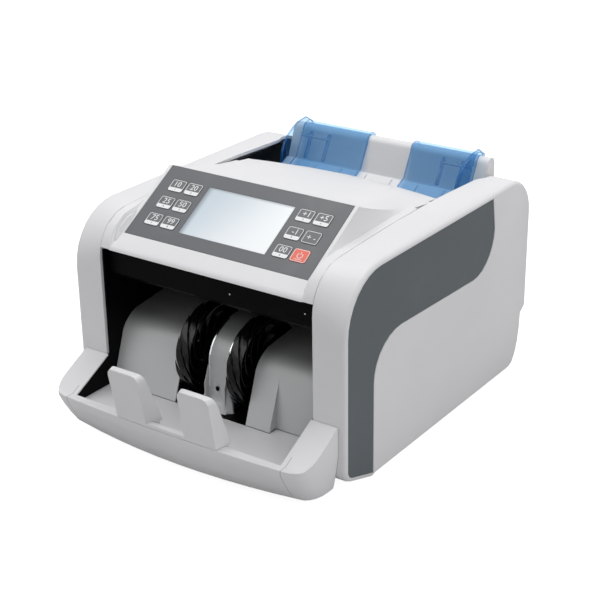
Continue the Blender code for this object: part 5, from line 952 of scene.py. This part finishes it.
def ramp(steps=10, across=13):
    """The nose's toe, which runs forward and down: reach = full reach times (1 - u) to the power."""
    u = np.linspace(0, 1, steps)[:, None]
    v = np.linspace(-1, 1, across)[None, :]
    x = NOSE_HALF * v * (1 + RAMP_SPREAD * (1 - u) ** 2)
    z = np.full_like(x, TRAY_TOP_Z) + RAMP_HEIGHT * u
    y = RAMP_TOP_Y - RAMP_REACH * (1 - u) ** RAMP_POWER + RAMP_BOW * v ** 2
    front = np.stack([x, y, z], -1)
    back = front * (1, 0, 1) + (0, RAMP_REAR_Y, 0)
    return swept(np.concatenate([front, back[:, ::-1]], axis=1))


def notch_shade_plate(sign, spokes=12):
    """Painted shade: a flat black plate by the tray that stands for the dark notch under the wheel, its front
    corners rounded by quarter circles.
    """
    low, high = WELL_WALLS[0] - WELL_INNER_REACH, WELL_WALLS[1]
    large, small, front = WELL_CORNER, WELL_CORNER / 2, WELL_FRONT_Y
    turn = np.linspace(0, math.pi / 2, spokes)
    right = [(high - large + large * math.sin(a), front + large - large * math.cos(a)) for a in turn]
    left = [(low + small - small * math.cos(a), front + small - small * math.sin(a)) for a in turn]
    outline = [(low, WELL_REAR_Y), *left, *right, (high, WELL_REAR_Y)]
    return swept(np.array([[(sign * x, y, z) for x, y in outline] for z in SHADE_PLATE_Z]))


inner_line, outer_line = along(SHEET_LINE[1:], 24), along(SHEET_LINE, 30)
walls = [ribbon(line, *sorted((sign * x, sign * (x + WELL_WALL))), 0.0, WELL_DEPTH)
         for sign in (-1, 1) for x, line in zip(WELL_WALLS, (inner_line, outer_line))]
# Painted shade: black plates under the wheels stand for the dark notches in the tray.
walls += [notch_shade_plate(sign) for sign in (-1, 1)]
new_piece("wheel_wells_and_shade_plates", *gather(walls), "counter", "black_plastic")
new_piece("nose_flares", *gather([flare(-1), flare(1), ramp()]), "counter", "nose_grey")
run, rise = SENSOR_SLOPE
window = oval_window(SENSOR_PLACE, (-1, 0, 0), (0, run, rise), (0, -rise, run), *SENSOR_SIZE)
new_piece("nose_sensor", *window, "counter", "black_plastic")
print("well walls:", len(walls))

# %% [markdown]
# ## Floor, backdrop and light
#
# The photograph is a cut-out on white. A pale floor keeps the machine's shadow, and a world that is
# white to the camera, to gloss and to clear parts stands for the studio. The light on the object comes
# from a large lamp overhead and two weak ones at the sides, at a level where white plastic stays below
# full white, so the grain and the roundings can still be seen.
# %% Light the studio
FLOOR_HALF = 6.0
WORLD_STRENGTH = 0.38
FLOOR_GLOW, FLOOR_DARK, FLOOR_PALE = 0.9, grey(0.61), grey(0.63)
LAMP_TARGET = (0, 0, 0.1)
LAMPS = {
    "overhead": ((-0.1, 0.15, 1.6), 1.4, 14.0),
    "right_fill": ((1.7, 0.15, 0.9), 1.2, 7.0),
    "front_key": ((-0.80, -0.80, 0.85), 0.6, 2.1),
}


def floor_material():
    """Pale floor: its own colour for light, and some glow for the camera, so that it meets the white."""
    shader = Shader("studio_floor")
    camera_ray = shader.node("ShaderNodeLightPath", output="Is Camera Ray")
    pale = shader.mix(shader.noise(1.5, 2), FLOOR_DARK, FLOOR_PALE)
    body = shader.node("ShaderNodeBsdfDiffuse", None, {"Color": pale})
    glow = shader.node("ShaderNodeEmission", None, {"Color": grey(1.0), "Strength": camera_ray * FLOOR_GLOW})
    return shader.finish(shader.node("ShaderNodeAddShader", None, {0: body, 1: glow}))


def lamp(name, place, size, watts):
    """A square soft lamp that faces the machine."""
    light = bpy.data.lights.new(name, "AREA")
    light.size = size
    light.energy = watts
    made = bpy.data.objects.new(name, light)
    made.location = place
    made.rotation_euler = (Vector(LAMP_TARGET) - Vector(place)).to_track_quat("-Z", "Y").to_euler()
    bpy.context.scene.collection.objects.link(made)


floor_mesh = bpy.data.meshes.new("studio_floor")
corners = [(x * FLOOR_HALF, y * FLOOR_HALF, 0) for x, y in ((-1, -1), (1, -1), (1, 1), (-1, 1))]
floor_mesh.from_pydata(corners, [], [(0, 1, 2, 3)])
floor_mesh.materials.append(floor_material())
floor = bpy.data.objects.new("studio_floor", floor_mesh)
bpy.context.scene.collection.objects.link(floor)

world = bpy.data.worlds.new("studio")
world.use_nodes = True
tree = world.node_tree
background = tree.nodes["Background"]
paths = tree.nodes.new("ShaderNodeLightPath")
seen = paths.outputs["Is Camera Ray"]
for name in ("Is Glossy Ray", "Is Transmission Ray"):
    either = tree.nodes.new("ShaderNodeMath")
    either.operation = "MAXIMUM"
    tree.links.new(seen, either.inputs[0])
    tree.links.new(paths.outputs[name], either.inputs[1])
    seen = either.outputs[0]
level = tree.nodes.new("ShaderNodeMapRange")
level.inputs["To Min"].default_value = WORLD_STRENGTH
level.inputs["To Max"].default_value = 1.0
tree.links.new(seen, level.inputs["Value"])
tree.links.new(level.outputs[0], background.inputs["Strength"])
background.inputs["Color"].default_value = (1, 1, 1, 1)
bpy.context.scene.world = world

for name, (place, size, watts) in LAMPS.items():
    lamp(name, place, size, watts)
bpy.context.scene.view_settings.view_transform = "Standard"
